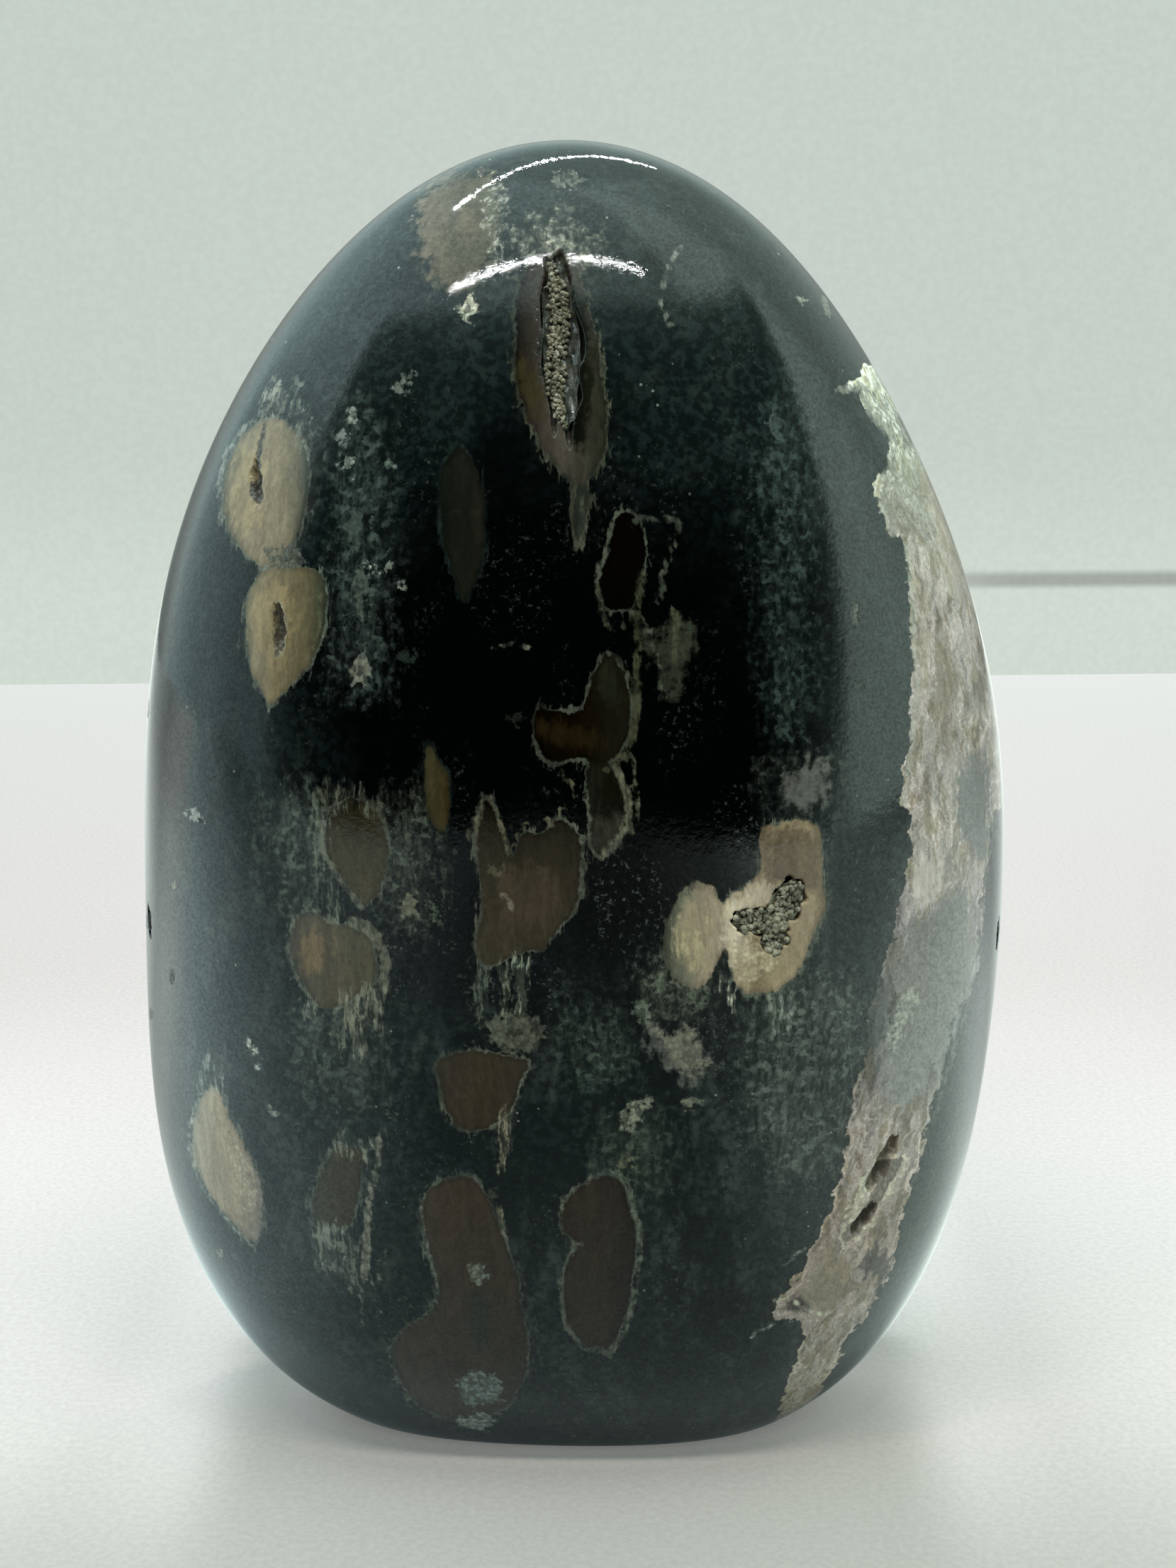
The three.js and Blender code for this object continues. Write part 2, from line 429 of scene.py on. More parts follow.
LEFT_ORB_MARKS = (
    BODY.area(
        "504938 726753 716651 31362f", "379,586 350,604 328,634 314,680 313,725 328,760 348,783 366,799 "
        "392,797 412,770 428,735 434,690 436,645 422,610 404,594", halo="5f6358"),
    HEART.egg("7e7155", 352, 690, 50, 130, 4, strength=0.75),
    RIM.stroke("1f211d", "424,590 442,634 441,680 430,740 412,790", 14, 0.75),
    RIM.stroke("7c7f75", "376,578 340,605 318,640 308,690 311,735", 5, 0.6),
    DRIP.area("797b6f", "366,590 372,555 388,528 404,545 400,590", 0.9),
    DRIP.area("747b70", "405,590 415,520 430,560 448,640 436,640", 0.6),
    PIT.area(
        "3d3a33", "372,584 368,610 362,634 360,668 352,682 353,700 362,714 374,700 366,676 369,640 374,612 "
        "377,590"),
    BODY.area(
        "786f58 665b44 58503b 282e24", "372,803 354,826 347,870 347,918 357,952 368,976 382,999 396,978 "
        "420,956 442,932 460,888 462,840 452,806 430,800 400,800", halo="5f6358"),
    HEART.egg("7c6c4f", 385, 880, 52, 120, 2, 0.5, strength=0.7),
    RIM.stroke("060806", "456,806 467,840 466,890 448,938 424,964 398,984 384,1003", 6, 0.85),
    RIM.stroke("595846", "440,812 452,845 450,892 434,926", 5, 0.55),
    RIM.stroke("030302", "368,806 349,830 342,880 343,925 354,958", 4, 0.7),
    SNOW.egg("46473d", 399, 786, 56, 30, 6),
    SNOW.egg("67624b", 392, 892, 20, 74, strength=0.9),
    PIT.area("484235", "386,858 394,868 396,895 395,922 389,930 385,905 387,880"),
)

VEIL_MARKS = (
    VEIL.area("414a45", "470,570 515,575 535,680 530,800 540,960 500,985 465,900 480,760", 0.7),
    VEIL.area("3d4843", "1085,560 1130,575 1145,780 1135,1040 1095,1050 1088,800", 0.6),
    VEIL.area("171f1e", "540,520 640,470 700,560 600,640 560,600", 0.5),
    VEIL.area("61675f", "1050,1400 1180,1370 1235,1430 1200,1600 1120,1680 1060,1560", 0.6),
    VEIL.area("4a5047", "384,1130 430,1110 455,1180 450,1290 400,1285 380,1200", 0.8),
    VEIL.area("4a4e44", "544,1120 600,1130 595,1300 550,1310", 0.8),
    VEIL.area("465046", "780,1420 872,1435 880,1530 800,1530", 0.7),
    VEIL.area("606557", "905,1380 990,1372 985,1425 915,1425", 0.8),
    VEIL.area("50554e", "400,1430 530,1430 535,1560 430,1580", 0.55),
    VEIL.area("4a5146", "840,1590 930,1560 960,1640 910,1700 850,1660", 0.55),
    SNOW.egg("797b70", 497, 586, 14, 22, strength=0.9),
    SNOW.egg("696e68", 484, 618, 16, 26, 20, strength=0.9),
    SNOW.egg("878d83", 492, 655, 20, 26, strength=0.8),
    SNOW.egg("3c453e", 500, 745, 24, 60, 6, strength=0.75),
    SNOW.egg("4d544a", 508, 838, 20, 70, 4, strength=0.7),
    SNOW.egg("6f6e62", 506, 943, 24, 44, 8, strength=0.8),
    SNOW.egg("5c645c", 549, 655, 16, 10, strength=0.8),
    SNOW.egg("39433f", 1092, 600, 12, 34, strength=0.7),
    SNOW.egg("283129", 570, 927, 30, 18, strength=0.6),
    RIM.stroke("686b5d", "690,920 704,913 722,909 744,913", 6, 0.7),
)

DIM_LENS_MARKS = (
    BODY.area(
        "10130e 171711", "624,650 621,700 622,759 634,800 645,832 651,851 664,836 676,800 683,745 680,690 "
        "675,662 660,642 647,622 636,640", halo="1c2420"),
    RIM.stroke("020303", "622,640 616,700 618,762 632,806 648,850", 4, 0.6),
    RIM.stroke("0e110d", "652,850 668,836 682,790 688,735 684,680 670,650", 4, 0.6),
    RIM.stroke("212017", "628,724 650,720 678,725", 4, 0.6),
    BODY.area(
        "3f3a26 322914", "604,1043 616,1067 630,1088 637,1130 632,1160 624,1176 608,1165 600,1123 "
        "598,1081", 0.9, halo="1c2420"),
    RIM.stroke("020302", "604,1043 597,1081 598,1125 606,1163", 3, 0.6),
)

AMBER_MARKS = (
    BODY.area(
        "050302 030301", "880,715 866,740 855,790 843,818 848,850 859,862 890,862 901,832 908,804 913,773 "
        "906,738", run=Run.DOWN, halo="4a4d42"),
    RIM.stroke(
        "3f4339", "895,742 902,722 912,733 936,732 957,730 957,755 946,780 939,801 932,815 936,836 "
        "929,850", 7),
    RIM.stroke("444638", "843,822 848,857 855,881 866,890 878,886 883,868 896,864 905,835 910,805", 7, 0.9),
    RIM.stroke("3c3f2e", "906,806 901,846 897,874 902,910 895,945 901,973 898,1000", 9, 0.9),
    INLAY.area(
        "2b2c24", "912,885 920,930 935,945 930,975 945,985 962,960 964,935 976,925 976,880 965,892 955,868 "
        "943,888 938,905 924,900", 0.9),
    RIM.stroke("4f5547", "914,880 924,915 932,945 928,972 944,984", 5, 0.8),
    RIM.stroke("484936", "952,862 956,900 948,935", 8, 0.8),
    RIM.stroke("2f352a", "972,872 974,900 966,930 956,965", 5, 0.8),
    BODY.area(
        "050301 0e0803 17160f", "751,1012 764,996 795,1006 824,1000 832,968 842,938 859,920 876,940 "
        "886,966 892,1000 889,1035 876,1062 852,1078 824,1066 795,1076 766,1076 754,1045", halo="4a4d42"),
    HEART.area("1b1c13", "838,985 844,950 860,930 874,955 880,990 860,1000", 0.9),
    HEART.area("221a0b", "762,1015 800,1020 840,1025 850,1050 820,1056 775,1060 760,1040", 0.7),
    BODY.area(
        "0d0b03 040302", "828,1075 852,1084 871,1090 882,1130 874,1165 858,1190 836,1180 "
        "828,1120", 0.9, run=Run.DOWN, halo="4a4d42"),
    RIM.stroke("0f0f0a", "833,975 841,941 859,914 876,938 890,968 900,990", 7),
    RIM.stroke("3d3d2e", "896,985 896,1011 894,1036 885,1056 871,1076 856,1083", 12),
    RIM.stroke("605f4d", "868,1080 880,1109 888,1130 886,1159 868,1187 855,1200 842,1216", 9),
    RIM.stroke("626352", "893,1070 899,1110 900,1150 890,1180", 5, 0.7),
    RIM.stroke("6a6953", "792,1083 797,1100 808,1104 811,1125", 5, 0.8),
    RIM.stroke("030302", "827,1062 826,1085 827,1108", 3, 0.8),
    RIM.stroke("030302", "753,1003 765,991 796,1000 828,996", 4, 0.7),
)

LEFT_FLAME_MARKS = (
    DRIP.area(
        "5c5d4f", "450,1140 452,1092 470,1108 478,1098 490,1120 500,1092 512,1118 528,1135 545,1165 "
        "525,1150 495,1135 465,1145", 0.95),
    DRIP.area("626659", "445,1115 462,1140 458,1200 478,1250 490,1290 462,1300 444,1220", 0.85),
    BODY.area(
        "030302 322b1b 3b3525", "463,1145 487,1128 501,1124 519,1134 537,1157 546,1186 548,1212 541,1241 "
        "532,1266 513,1278 501,1267 487,1249 470,1223 459,1206 456,1178", run=Run.DOWN, halo="5c5f54"),
    HEART.egg("29210e", 508, 1165, 50, 60, -10, strength=0.5),
    RIM.stroke(
        "2e2e25", "460,1150 484,1124 501,1117 521,1128 541,1155 551,1186 553,1214 546,1243 "
        "536,1272", 6, 0.85),
    RIM.stroke("58594d", "455,1150 452,1180 456,1208 472,1230 490,1256 510,1280", 8, 0.85),
    SNOW.egg("6f6e5c", 576, 1278, 18, 36, strength=0.6),
    BODY.area(
        "453f37 494234 433f30", "412,1316 420,1297 438,1288 456,1296 470,1307 490,1305 510,1312 523,1326 "
        "529,1347 534,1367 524,1392 501,1405 481,1420 458,1425 441,1410 427,1388 415,1360 "
        "409,1337", halo="5c5f54"),
    HEART.egg("665741", 443, 1344, 44, 62, 4, strength=0.9),
    RIM.stroke("666556", "495,1300 521,1308 538,1335 545,1360 540,1392", 14, 0.75),
    RIM.stroke("58594f", "408,1312 404,1337 412,1366 426,1394 444,1418", 5, 0.75),
    RIM.stroke("636358", "412,1308 422,1288 440,1281 458,1290 470,1300", 4, 0.75),
    DRIP.area(
        "757565", "470,1415 500,1400 535,1385 545,1395 532,1470 518,1440 508,1490 492,1450 482,1492 "
        "474,1450"),
    DRIP.area("888a7e", "420,1380 434,1395 442,1420 434,1445 424,1420", 0.8),
    RIM.stroke("3f4540", "505,1490 503,1530 505,1590", 5, 0.6),
    DRIP.area("555b53", "430,1500 445,1540 462,1520 470,1545 480,1500 455,1480", 0.6),
)

HEART_SHAPE_MARKS = (
    BODY.area(
        "050302 2d271b 352f23", "686,1122 677,1150 671,1180 677,1230 681,1279 676,1310 670,1326 675,1349 "
        "684,1363 700,1359 722,1350 748,1339 760,1345 776,1326 790,1305 808,1288 820,1268 820,1228 "
        "821,1185 806,1165 789,1150 775,1172 754,1178 741,1168 730,1188 719,1222 711,1192 703,1158 "
        "695,1134", run=Run.DOWN, halo="5a5b50"),
    HEART.egg("403529", 745, 1265, 90, 90, strength=0.55),
    RIM.stroke("414136", "668,1160 670,1200 676,1243 680,1279 674,1310 668,1330 676,1356 690,1366", 5, 0.8),
    RIM.stroke(
        "68634f", "673,1176 678,1138 686,1119 695,1131 704,1156 713,1182 717,1214 725,1195 731,1176 "
        "742,1155 754,1173 767,1152 781,1172 790,1142 802,1132", 5, 0.95),
    RIM.stroke("535143", "661,1184 665,1151 671,1169 672,1205", 4, 0.9),
    RIM.stroke("706a58", "708,1262 716,1264 722,1282", 6, 0.9),
    SNOW.egg("4c4838", 698, 1229, 16, 12, strength=0.8),
    RIM.stroke("060604", "826,1180 824,1230 823,1272 806,1292 790,1310 776,1330 758,1352", 5, 0.75),
    BODY.area("131006 2c2821", "832,1140 866,1135 880,1155 868,1190 848,1212 832,1200", 0.8, halo="5a5b50"),
    DRIP.area("595e52", "675,1365 692,1366 696,1400 692,1440 680,1438", 0.9),
    DRIP.area("818874", "700,1362 712,1358 718,1400 716,1438 704,1438", 0.8),
    DRIP.area("abb29b", "722,1352 752,1340 752,1370 744,1432 728,1434 732,1380"),
    SNOW.area("5e5f52 525246", "682,1450 700,1432 740,1422 772,1440 768,1472 735,1486 700,1480", 0.75),
    BODY.area(
        "302a22 332b1f 2b261e", "614,1500 633,1488 658,1482 678,1484 729,1492 752,1500 733,1520 728,1553 "
        "708,1581 678,1598 646,1590 626,1562 623,1530", halo="5a5b50"),
    RIM.stroke("3d3f36", "756,1500 736,1522 732,1555 716,1580 700,1592", 6, 0.8),
    RIM.stroke("282a24", "612,1498 619,1532 622,1566 645,1594", 4, 0.6),
    DRIP.area("a8a087", "706,1575 726,1562 722,1600 712,1650 704,1640", 0.9),
    RIM.stroke("928f76", "705,1640 698,1672 704,1702 712,1740", 5, 0.6),
)

FOOT_MARKS = (
    DRIP.area("7d7e70", "466,1620 480,1600 505,1612 525,1598 542,1606 535,1640 500,1630", 0.8),
    BODY.area(
        "2f2c1f 322d1f", "458,1640 472,1622 492,1618 520,1620 509,1654 505,1698 494,1735 472,1728 446,1735 "
        "438,1702 444,1680", run=Run.DOWN, halo="565a50"),
    RIM.stroke("4f5148", "462,1628 448,1660 436,1700 440,1736", 5, 0.7),
    RIM.stroke("8c8a7a", "535,1606 529,1658 518,1702 518,1745 516,1800", 11, 0.7),
    DRIP.area("797c70", "440,1730 475,1726 515,1735 520,1815 495,1830 480,1780 465,1800 448,1790", 0.85),
    RIM.stroke("757e74", "512,1800 509,1835 510,1870", 4, 0.6),
    DRIP.area("90958c", "276,1535 282,1505 300,1478 312,1500 313,1540", 0.7),
    BODY.area(
        "90846f 93846d 897b67 887e73", "288,1541 274,1575 270,1612 275,1645 292,1680 315,1710 337,1735 "
        "360,1757 370,1735 371,1695 362,1650 345,1610 326,1580 313,1548 301,1532", halo="565a50"),
    SNOW.area("b3a88d", "322,1600 345,1630 360,1675 362,1720 345,1700 330,1650", 0.45),
    RIM.stroke("b2b8a9", "284,1541 268,1578 266,1618 273,1652 300,1697 332,1735 362,1763", 3, 0.5),
    BODY.area(
        "3b332c 362d24 2f281f", "609,1676 640,1660 668,1660 682,1682 700,1720 714,1756 730,1794 735,1850 "
        "746,1890 742,1942 722,1975 694,1998 655,2003 620,1998 583,1980 556,1930 552,1893 572,1870 "
        "605,1855 620,1828 614,1791 601,1754 594,1718 598,1693", halo="565a50"),
    RIM.stroke(
        "6e756d", "598,1690 593,1720 600,1756 612,1792 620,1826 607,1855 574,1870 550,1893 550,1928 "
        "580,1984", 4, 0.7),
    RIM.stroke("191915", "672,1656 694,1690 716,1750 734,1795 739,1850 750,1890 746,1944", 5, 0.7),
    RIM.stroke("45493f", "736,1760 742,1820 758,1870 764,1928", 5, 0.6),
    HEART.area("202823", "657,1824 680,1820 694,1850 688,1905 665,1900", 0.7),
    SNOW.egg("71776d", 676, 1797, 26, 26, 30, strength=0.75),
    SNOW.area("77837f", "640,1945 668,1935 700,1942 712,1965 690,1982 655,1985", 0.8),
    SNOW.egg("9eaaa2", 670, 2006, 50, 20, strength=0.6),
    VEIL.egg("363c37", 600, 1930, 60, 90, strength=0.5),
    BODY.area(
        "2a231b 2d261e 1f1a14", "840,1662 862,1657 882,1670 888,1701 897,1730 897,1765 893,1800 889,1835 "
        "881,1867 866,1896 858,1908 848,1897 829,1903 813,1887 798,1865 794,1832 794,1797 803,1772 "
        "818,1756 800,1747 788,1730 791,1708 801,1688 818,1672", halo="565a50"),
    RIM.stroke("605f53", "820,1754 802,1747 789,1730 790,1706 801,1686 818,1670 838,1661", 6),
    RIM.stroke(
        "5a5e52", "862,1650 884,1664 892,1701 902,1730 903,1762 898,1800 894,1837 884,1869 868,1900 "
        "858,1914", 8),
    RIM.stroke(
        "55574e", "822,1756 804,1768 793,1795 792,1832 797,1868 813,1891 830,1908 848,1900 "
        "858,1914", 5, 0.9),
    SNOW.egg("6a6b56", 882, 1640, 20, 22, strength=0.8),
    SNOW.egg("4c5446", 893, 1612, 16, 20, strength=0.7),
    SNOW.area("7e7f6f", "868,1592 880,1566 905,1550 922,1543 910,1574 886,1596", 0.9),
    SNOW.egg("757867", 976, 1558, 30, 12, strength=0.7),
    INLAY.area(
        "51514c", "921,1440 935,1460 954,1452 970,1444 984,1458 980,1480 1012,1500 990,1507 971,1524 "
        "949,1507 928,1492 916,1462", 0.9),
    SNOW.area(
        "767463", "921,1440 935,1460 954,1452 970,1444 984,1458 980,1480 1012,1500 990,1507 971,1520 "
        "949,1500 935,1480", 0.7),
    SNOW.egg("687162", 901, 1424, 34, 16, 60, strength=0.7),
    VEIL.area("1d2421", "560,1700 590,1650 600,1850 545,1850", 0.5),
)

RIGHT_BALL_MARKS = (
    DRIP.area("030302", "950,1270 965,1235 1000,1228 1020,1270 990,1262", 0.7),
    BODY.area(
        "35362d 696858 8b7d6a 9f8f79", "985,1240 956,1264 938,1308 934,1352 952,1386 978,1400 1002,1380 "
        "1022,1342 1026,1290 1008,1250"),
    HEART.egg("8a7c65", 978, 1322, 40, 100, 3, strength=0.75),
    DRIP.egg("a69b7a", 984, 1316, 56, 118, 3, strength=0.7),
    RIM.stroke("4e5044", "985,1241 952,1265 936,1308 932,1352 952,1387 978,1400", 4, 0.5),
    VEIL.area("3f443d", "1090,1105 1110,1080 1145,1055 1180,1090 1165,1140 1120,1145", 0.8),
    INLAY.area("55554f", "1102,1102 1131,1088 1150,1064 1174,1096 1161,1132 1137,1145 1116,1127", 0.8),
    BODY.area(
        "b4a68b 77664f 9c8c70 695a45", "1016,1276 1041,1257 1068,1242 1074,1217 1072,1182 1084,1163 "
        "1120,1158 1156,1160 1161,1207 1162,1252 1168,1274 1156,1302 1138,1338 1126,1374 1099,1397 "
        "1060,1402 1038,1394 1030,1360 1019,1325", halo="5a5c50"),
    HEART.area(
        "504232 584a39", "1074,1168 1150,1166 1157,1215 1156,1255 1120,1252 1080,1250 1078,1210", 0.95),
    HEART.area("88765f", "1118,1270 1158,1275 1140,1320 1122,1365 1100,1380 1110,1330", 0.8),
    HEART.area(
        "c7b9a3 8b7a67", "1022,1290 1036,1268 1064,1250 1090,1244 1104,1256 1090,1272 1060,1284 1042,1296 "
        "1050,1318 1058,1340 1040,1366 1026,1340 1018,1312", 0.9),
    SNOW.area(
        "b8ac8f", "1032,1322 1054,1330 1076,1338 1100,1326 1108,1344 1086,1366 1060,1386 1040,1380 "
        "1028,1350", 0.6),
    RIM.stroke(
        "474c45", "1160,1166 1166,1208 1167,1250 1175,1273 1160,1306 1142,1342 1130,1378 "
        "1102,1402", 5, 0.7),
    RIM.stroke("5c5646", "1078,1166 1076,1200 1078,1240", 4, 0.7),
    PIT.area(
        "080604", "1040,1298 1054,1287 1073,1292 1092,1277 1113,1264 1117,1284 1106,1312 1092,1328 "
        "1074,1326 1068,1308 1052,1305", 0.9),
    DRIP.area("d3d4bd", "1018,1372 1030,1380 1034,1400 1026,1432 1019,1405"),
    DRIP.area("8d9386", "1090,1404 1114,1398 1114,1430 1104,1470 1093,1440", 0.8),
    HEART.area("030403", "1188,915 1204,884 1226,900 1232,930 1214,962 1206,970 1192,945", 0.85),
    SNOW.egg("59594f", 1211, 866, 14, 28, 10, strength=0.7),
    SNOW.egg("30342e", 1212, 968, 20, 14, strength=0.6),
)

# The band down the right flank. Its inner edge runs from the top down, and past its outer edge the stone
# turns out of sight, so the outline goes beyond the stone there.
BAND_OUTLINE = (
    "1184,552 1222,540 1215,557 1226,584 1249,603 1259,626 1253,657 1234,680 1241,714 1253,756 1276,760 "
    "1281,825 1285,890 1289,959 1287,1016 1280,1050 1275,1082 1270,1138 1286,1142 1288,1158 1283,1180 "
    "1286,1204 1279,1232 1268,1260 1265,1296 1254,1348 1237,1401 1223,1453 1218,1506 1205,1552 1197,1576 "
    "1191,1631 1180,1683 1165,1720 1152,1750 1135,1784 1116,1812 1090,1834 1088,1866 1106,1864 1127,1858 "
    "1136,1888 1122,1919 1110,1952 1098,2000 1095,2040 1122,2035 1148,1975 1170,1940 1189,1903 1204,1876 "
    "1226,1851 1240,1821 1256,1790 1267,1753 1268,1715 1290,1662 1302,1606 1316,1560 1334,1488 1362,1418 "
    "1379,1366 1383,1313 1386,1260 1393,1201 1402,1140 1460,1100 1500,900 1480,600 1350,420 1240,500"
)
BAND_SHADES = (
    "bbbcb3 b4b5a8 868077 857a75 867b75 91867f 7c7473 232928 998d87 8e7f75 948982 7a735f"
)
BAND_MARKS = (
    BAND.area(BAND_SHADES, BAND_OUTLINE, run=Run.DOWN),
    RIM.stroke(
        "6b6a61", "1184,550 1220,543 1218,560 1232,588 1254,608 1263,630 1256,660 1240,684 1248,714 "
        "1260,752", 12, 0.9),
    RIM.stroke(
        "898b7e", "1278,762 1286,830 1290,900 1294,960 1291,1020 1284,1060 1278,1100 1274,1134", 6, 0.75),
    RIM.stroke(
        "070706", "1290,1158 1288,1204 1283,1234 1272,1262 1268,1296 1257,1350 1240,1403 1226,1455 "
        "1221,1508 1208,1554 1199,1580 1194,1631 1183,1684", 5, 0.7),
    SNOW.area("716e61", "1236,690 1262,640 1290,640 1310,720 1300,760 1268,752", 0.6),
    SNOW.area("0c0c09", "1225,555 1260,560 1300,640 1280,640 1250,600", 0.6),
    INLAY.area("958777", "1300,560 1340,640 1365,780 1345,860 1320,760 1300,660", 0.5),
    INLAY.area("685a47", "1318,870 1340,900 1345,1010 1328,1080 1312,1000", 0.6),
    INLAY.area("94877b", "1294,800 1310,860 1308,980 1298,1060 1292,940", 0.6),
    INLAY.area("555755", "1372,1050 1395,1060 1400,1160 1390,1230 1360,1190 1350,1140 1356,1090", 0.9),
    RIM.stroke("6c6a5d", "1365,1050 1348,1092 1345,1141 1352,1190 1340,1245", 4, 0.8),
    INLAY.area(
        "5d5b59 76726d 807f7d", "1276,1292 1300,1302 1325,1285 1346,1250 1372,1260 1374,1330 1366,1400 "
        "1348,1450 1326,1510 1290,1560 1246,1555 1243,1500 1256,1450 1262,1400 "
        "1270,1340", 0.9, run=Run.DOWN),
    SNOW.area("a1a295", "1276,1395 1294,1402 1290,1430 1272,1450 1264,1492 1256,1490 1262,1440", 0.65),
    HEART.area("535351", "1255,1352 1258,1400 1246,1440 1234,1478 1222,1470 1232,1420 1246,1370", 0.7),
    RIM.stroke("030302", "1276,1430 1272,1448 1274,1466", 4, 0.7),
    RIM.stroke("020302", "1242,1496 1232,1524 1226,1550", 4, 0.7),
    HEART.egg("b3a89e", 1307, 1243, 34, 76, 10, strength=0.85),
    RIM.stroke(
        "5a584e", "1392,1215 1386,1262 1382,1313 1377,1366 1365,1418 1344,1488 1324,1565 1304,1606 "
        "1291,1660 1266,1712", 5, 0.85),
    SNOW.area(
        "c7bfaa", "1281,1618 1252,1625 1222,1650 1208,1685 1186,1725 1180,1752 1196,1760 1230,1735 "
        "1254,1690 1280,1650", 0.75),
    PIT.area(
        "6f635b 463e3a", "1276,1628 1258,1636 1240,1652 1234,1680 1220,1700 1212,1716 1196,1728 1184,1744 "
        "1190,1756 1208,1744 1222,1730 1238,1708 1248,1684 1258,1664 1272,1646", 0.85),
    INLAY.area(
        "877d6f 82725b", "1150,1762 1180,1762 1203,1790 1196,1830 1172,1852 1140,1848 1125,1828 "
        "1140,1800", 0.85),
    INLAY.area("2d2522", "1216,1762 1240,1756 1256,1775 1250,1800 1226,1806 1208,1790", 0.85),
    INLAY.area("040303", "1108,1836 1132,1826 1150,1836 1140,1850 1112,1852", 0.8),
    RIM.stroke("040302", "1206,1742 1192,1757 1180,1770 1175,1786", 4, 0.8),
    RIM.stroke("7f7762", "1180,1800 1170,1809 1152,1808 1136,1806", 3, 0.8),
    RIM.stroke("0a0907", "1196,1838 1182,1848 1168,1856 1158,1868", 3, 0.7),
    RIM.stroke("f3efd6", "1090,1836 1112,1830 1150,1856 1180,1850", 4, 0.6),
    RIM.stroke("32312b", "1160,1876 1150,1920 1130,1965", 4, 0.5),
    RIM.stroke("333029", "1236,1822 1224,1850 1206,1868", 5, 0.6),
    DRIP.area("030302", "1182,548 1192,540 1222,536 1226,556 1200,560", 0.8),
    RIM.stroke("ced6c8", "1058,1888 1073,1876 1092,1868", 3, 0.5),
    RIM.stroke("cdd3c4", "1106,1784 1128,1766 1152,1755", 3, 0.5),
)

SCATTERED_MARKS = (
    # A painted glint: the pale egg round the small dark pit that follows.
    SNOW.egg("999c95", 276, 1150, 18, 16, strength=0.9),
    PIT.egg("020303", 284, 1156, 10, 9),
    PIT.egg("7f7d70", 244, 1249, 9, 12),
    PIT.egg("050505", 243, 1378, 7, 22, 6),
    PIT.egg("353535", 211, 1298, 8, 26, 4),
    PIT.egg("292826", 214, 1430, 7, 18),
    PIT.egg("69675f", 309, 1768, 12, 12),
    SNOW.egg("b5b3a7", 355, 1476, 16, 9, 70, strength=0.9),
    SNOW.egg("818277", 384, 1567, 18, 9, 50, strength=0.8),
    SNOW.egg("a8aea6", 362, 1505, 9, 9, strength=0.8),
    SNOW.egg("606958", 616, 1286, 16, 40, strength=0.5),
    SNOW.egg("1c1c15", 729, 1015, 16, 12, strength=0.8),
    SNOW.egg("f2f0e0", 525, 801, 8, 8, strength=0.9),
    SNOW.egg("707369", 548, 798, 7, 7, strength=0.9),
    SNOW.egg("6f746a", 570, 828, 6, 8, strength=0.9),
    SNOW.egg("030302", 1065, 300, 10, 6, strength=0.8),
)

PHOTO_MARKS = (
    TOP_MARKS + CROWN_MARKS + LEFT_ORB_MARKS + VEIL_MARKS + DIM_LENS_MARKS + AMBER_MARKS + LEFT_FLAME_MARKS
    + HEART_SHAPE_MARKS + FOOT_MARKS + RIGHT_BALL_MARKS + BAND_MARKS + SCATTERED_MARKS
)


# The markings of the sides and back, which no photograph shows, in millimetres with y down from the foot


def orb(x: float, height: float, width: float, length: float, shades: str, lean: float = 0.0,
        heart: str = "", drip: bool = True) -> tuple[Mark, ...]:
    """One orb as this stone grows them: a body in a pale rim, flames above it and strands running down.

    Args:
        x: Its middle across, in millimetres.
        height: Its middle above the foot, in millimetres.
        width: Its full width.
        length: Its full length.
        shades: The body's colours from left to right.
        lean: How far its top turns clockwise, in degrees.
        heart: The colour of a darker or brighter heart, or nothing.
        drip: Whether strands run down from it.

    Returns:
        The marks that make it.
    """
    down = -height
    marks = [
        BODY.egg(shades, x, down, width, length, lean, 0.5, halo="6b6d60"),
        DRIP.egg("77796c", x, down - 0.52 * length, width * 0.7, length * 0.28, lean, strength=0.8),
    ]
    if heart:
        marks.append(HEART.egg(heart, x - 0.1 * width, down, width * 0.5, length * 0.55, lean,
                               strength=0.8))
    if drip:
        marks.append(DRIP.egg("6e7165", x + 0.15 * width, down + 0.62 * length, width * 0.5,
                              length * 0.5, tip=0.8, strength=0.85))
    return tuple(marks)


CREAM = "888159 8f8a6b 6f705e"
BROWN = "3b3226 40372c 2c281e"
OLIVE = "31322a 3a3a30 2a2a21"
BLUSH = "8c846c 8a7c64 6f5c48"

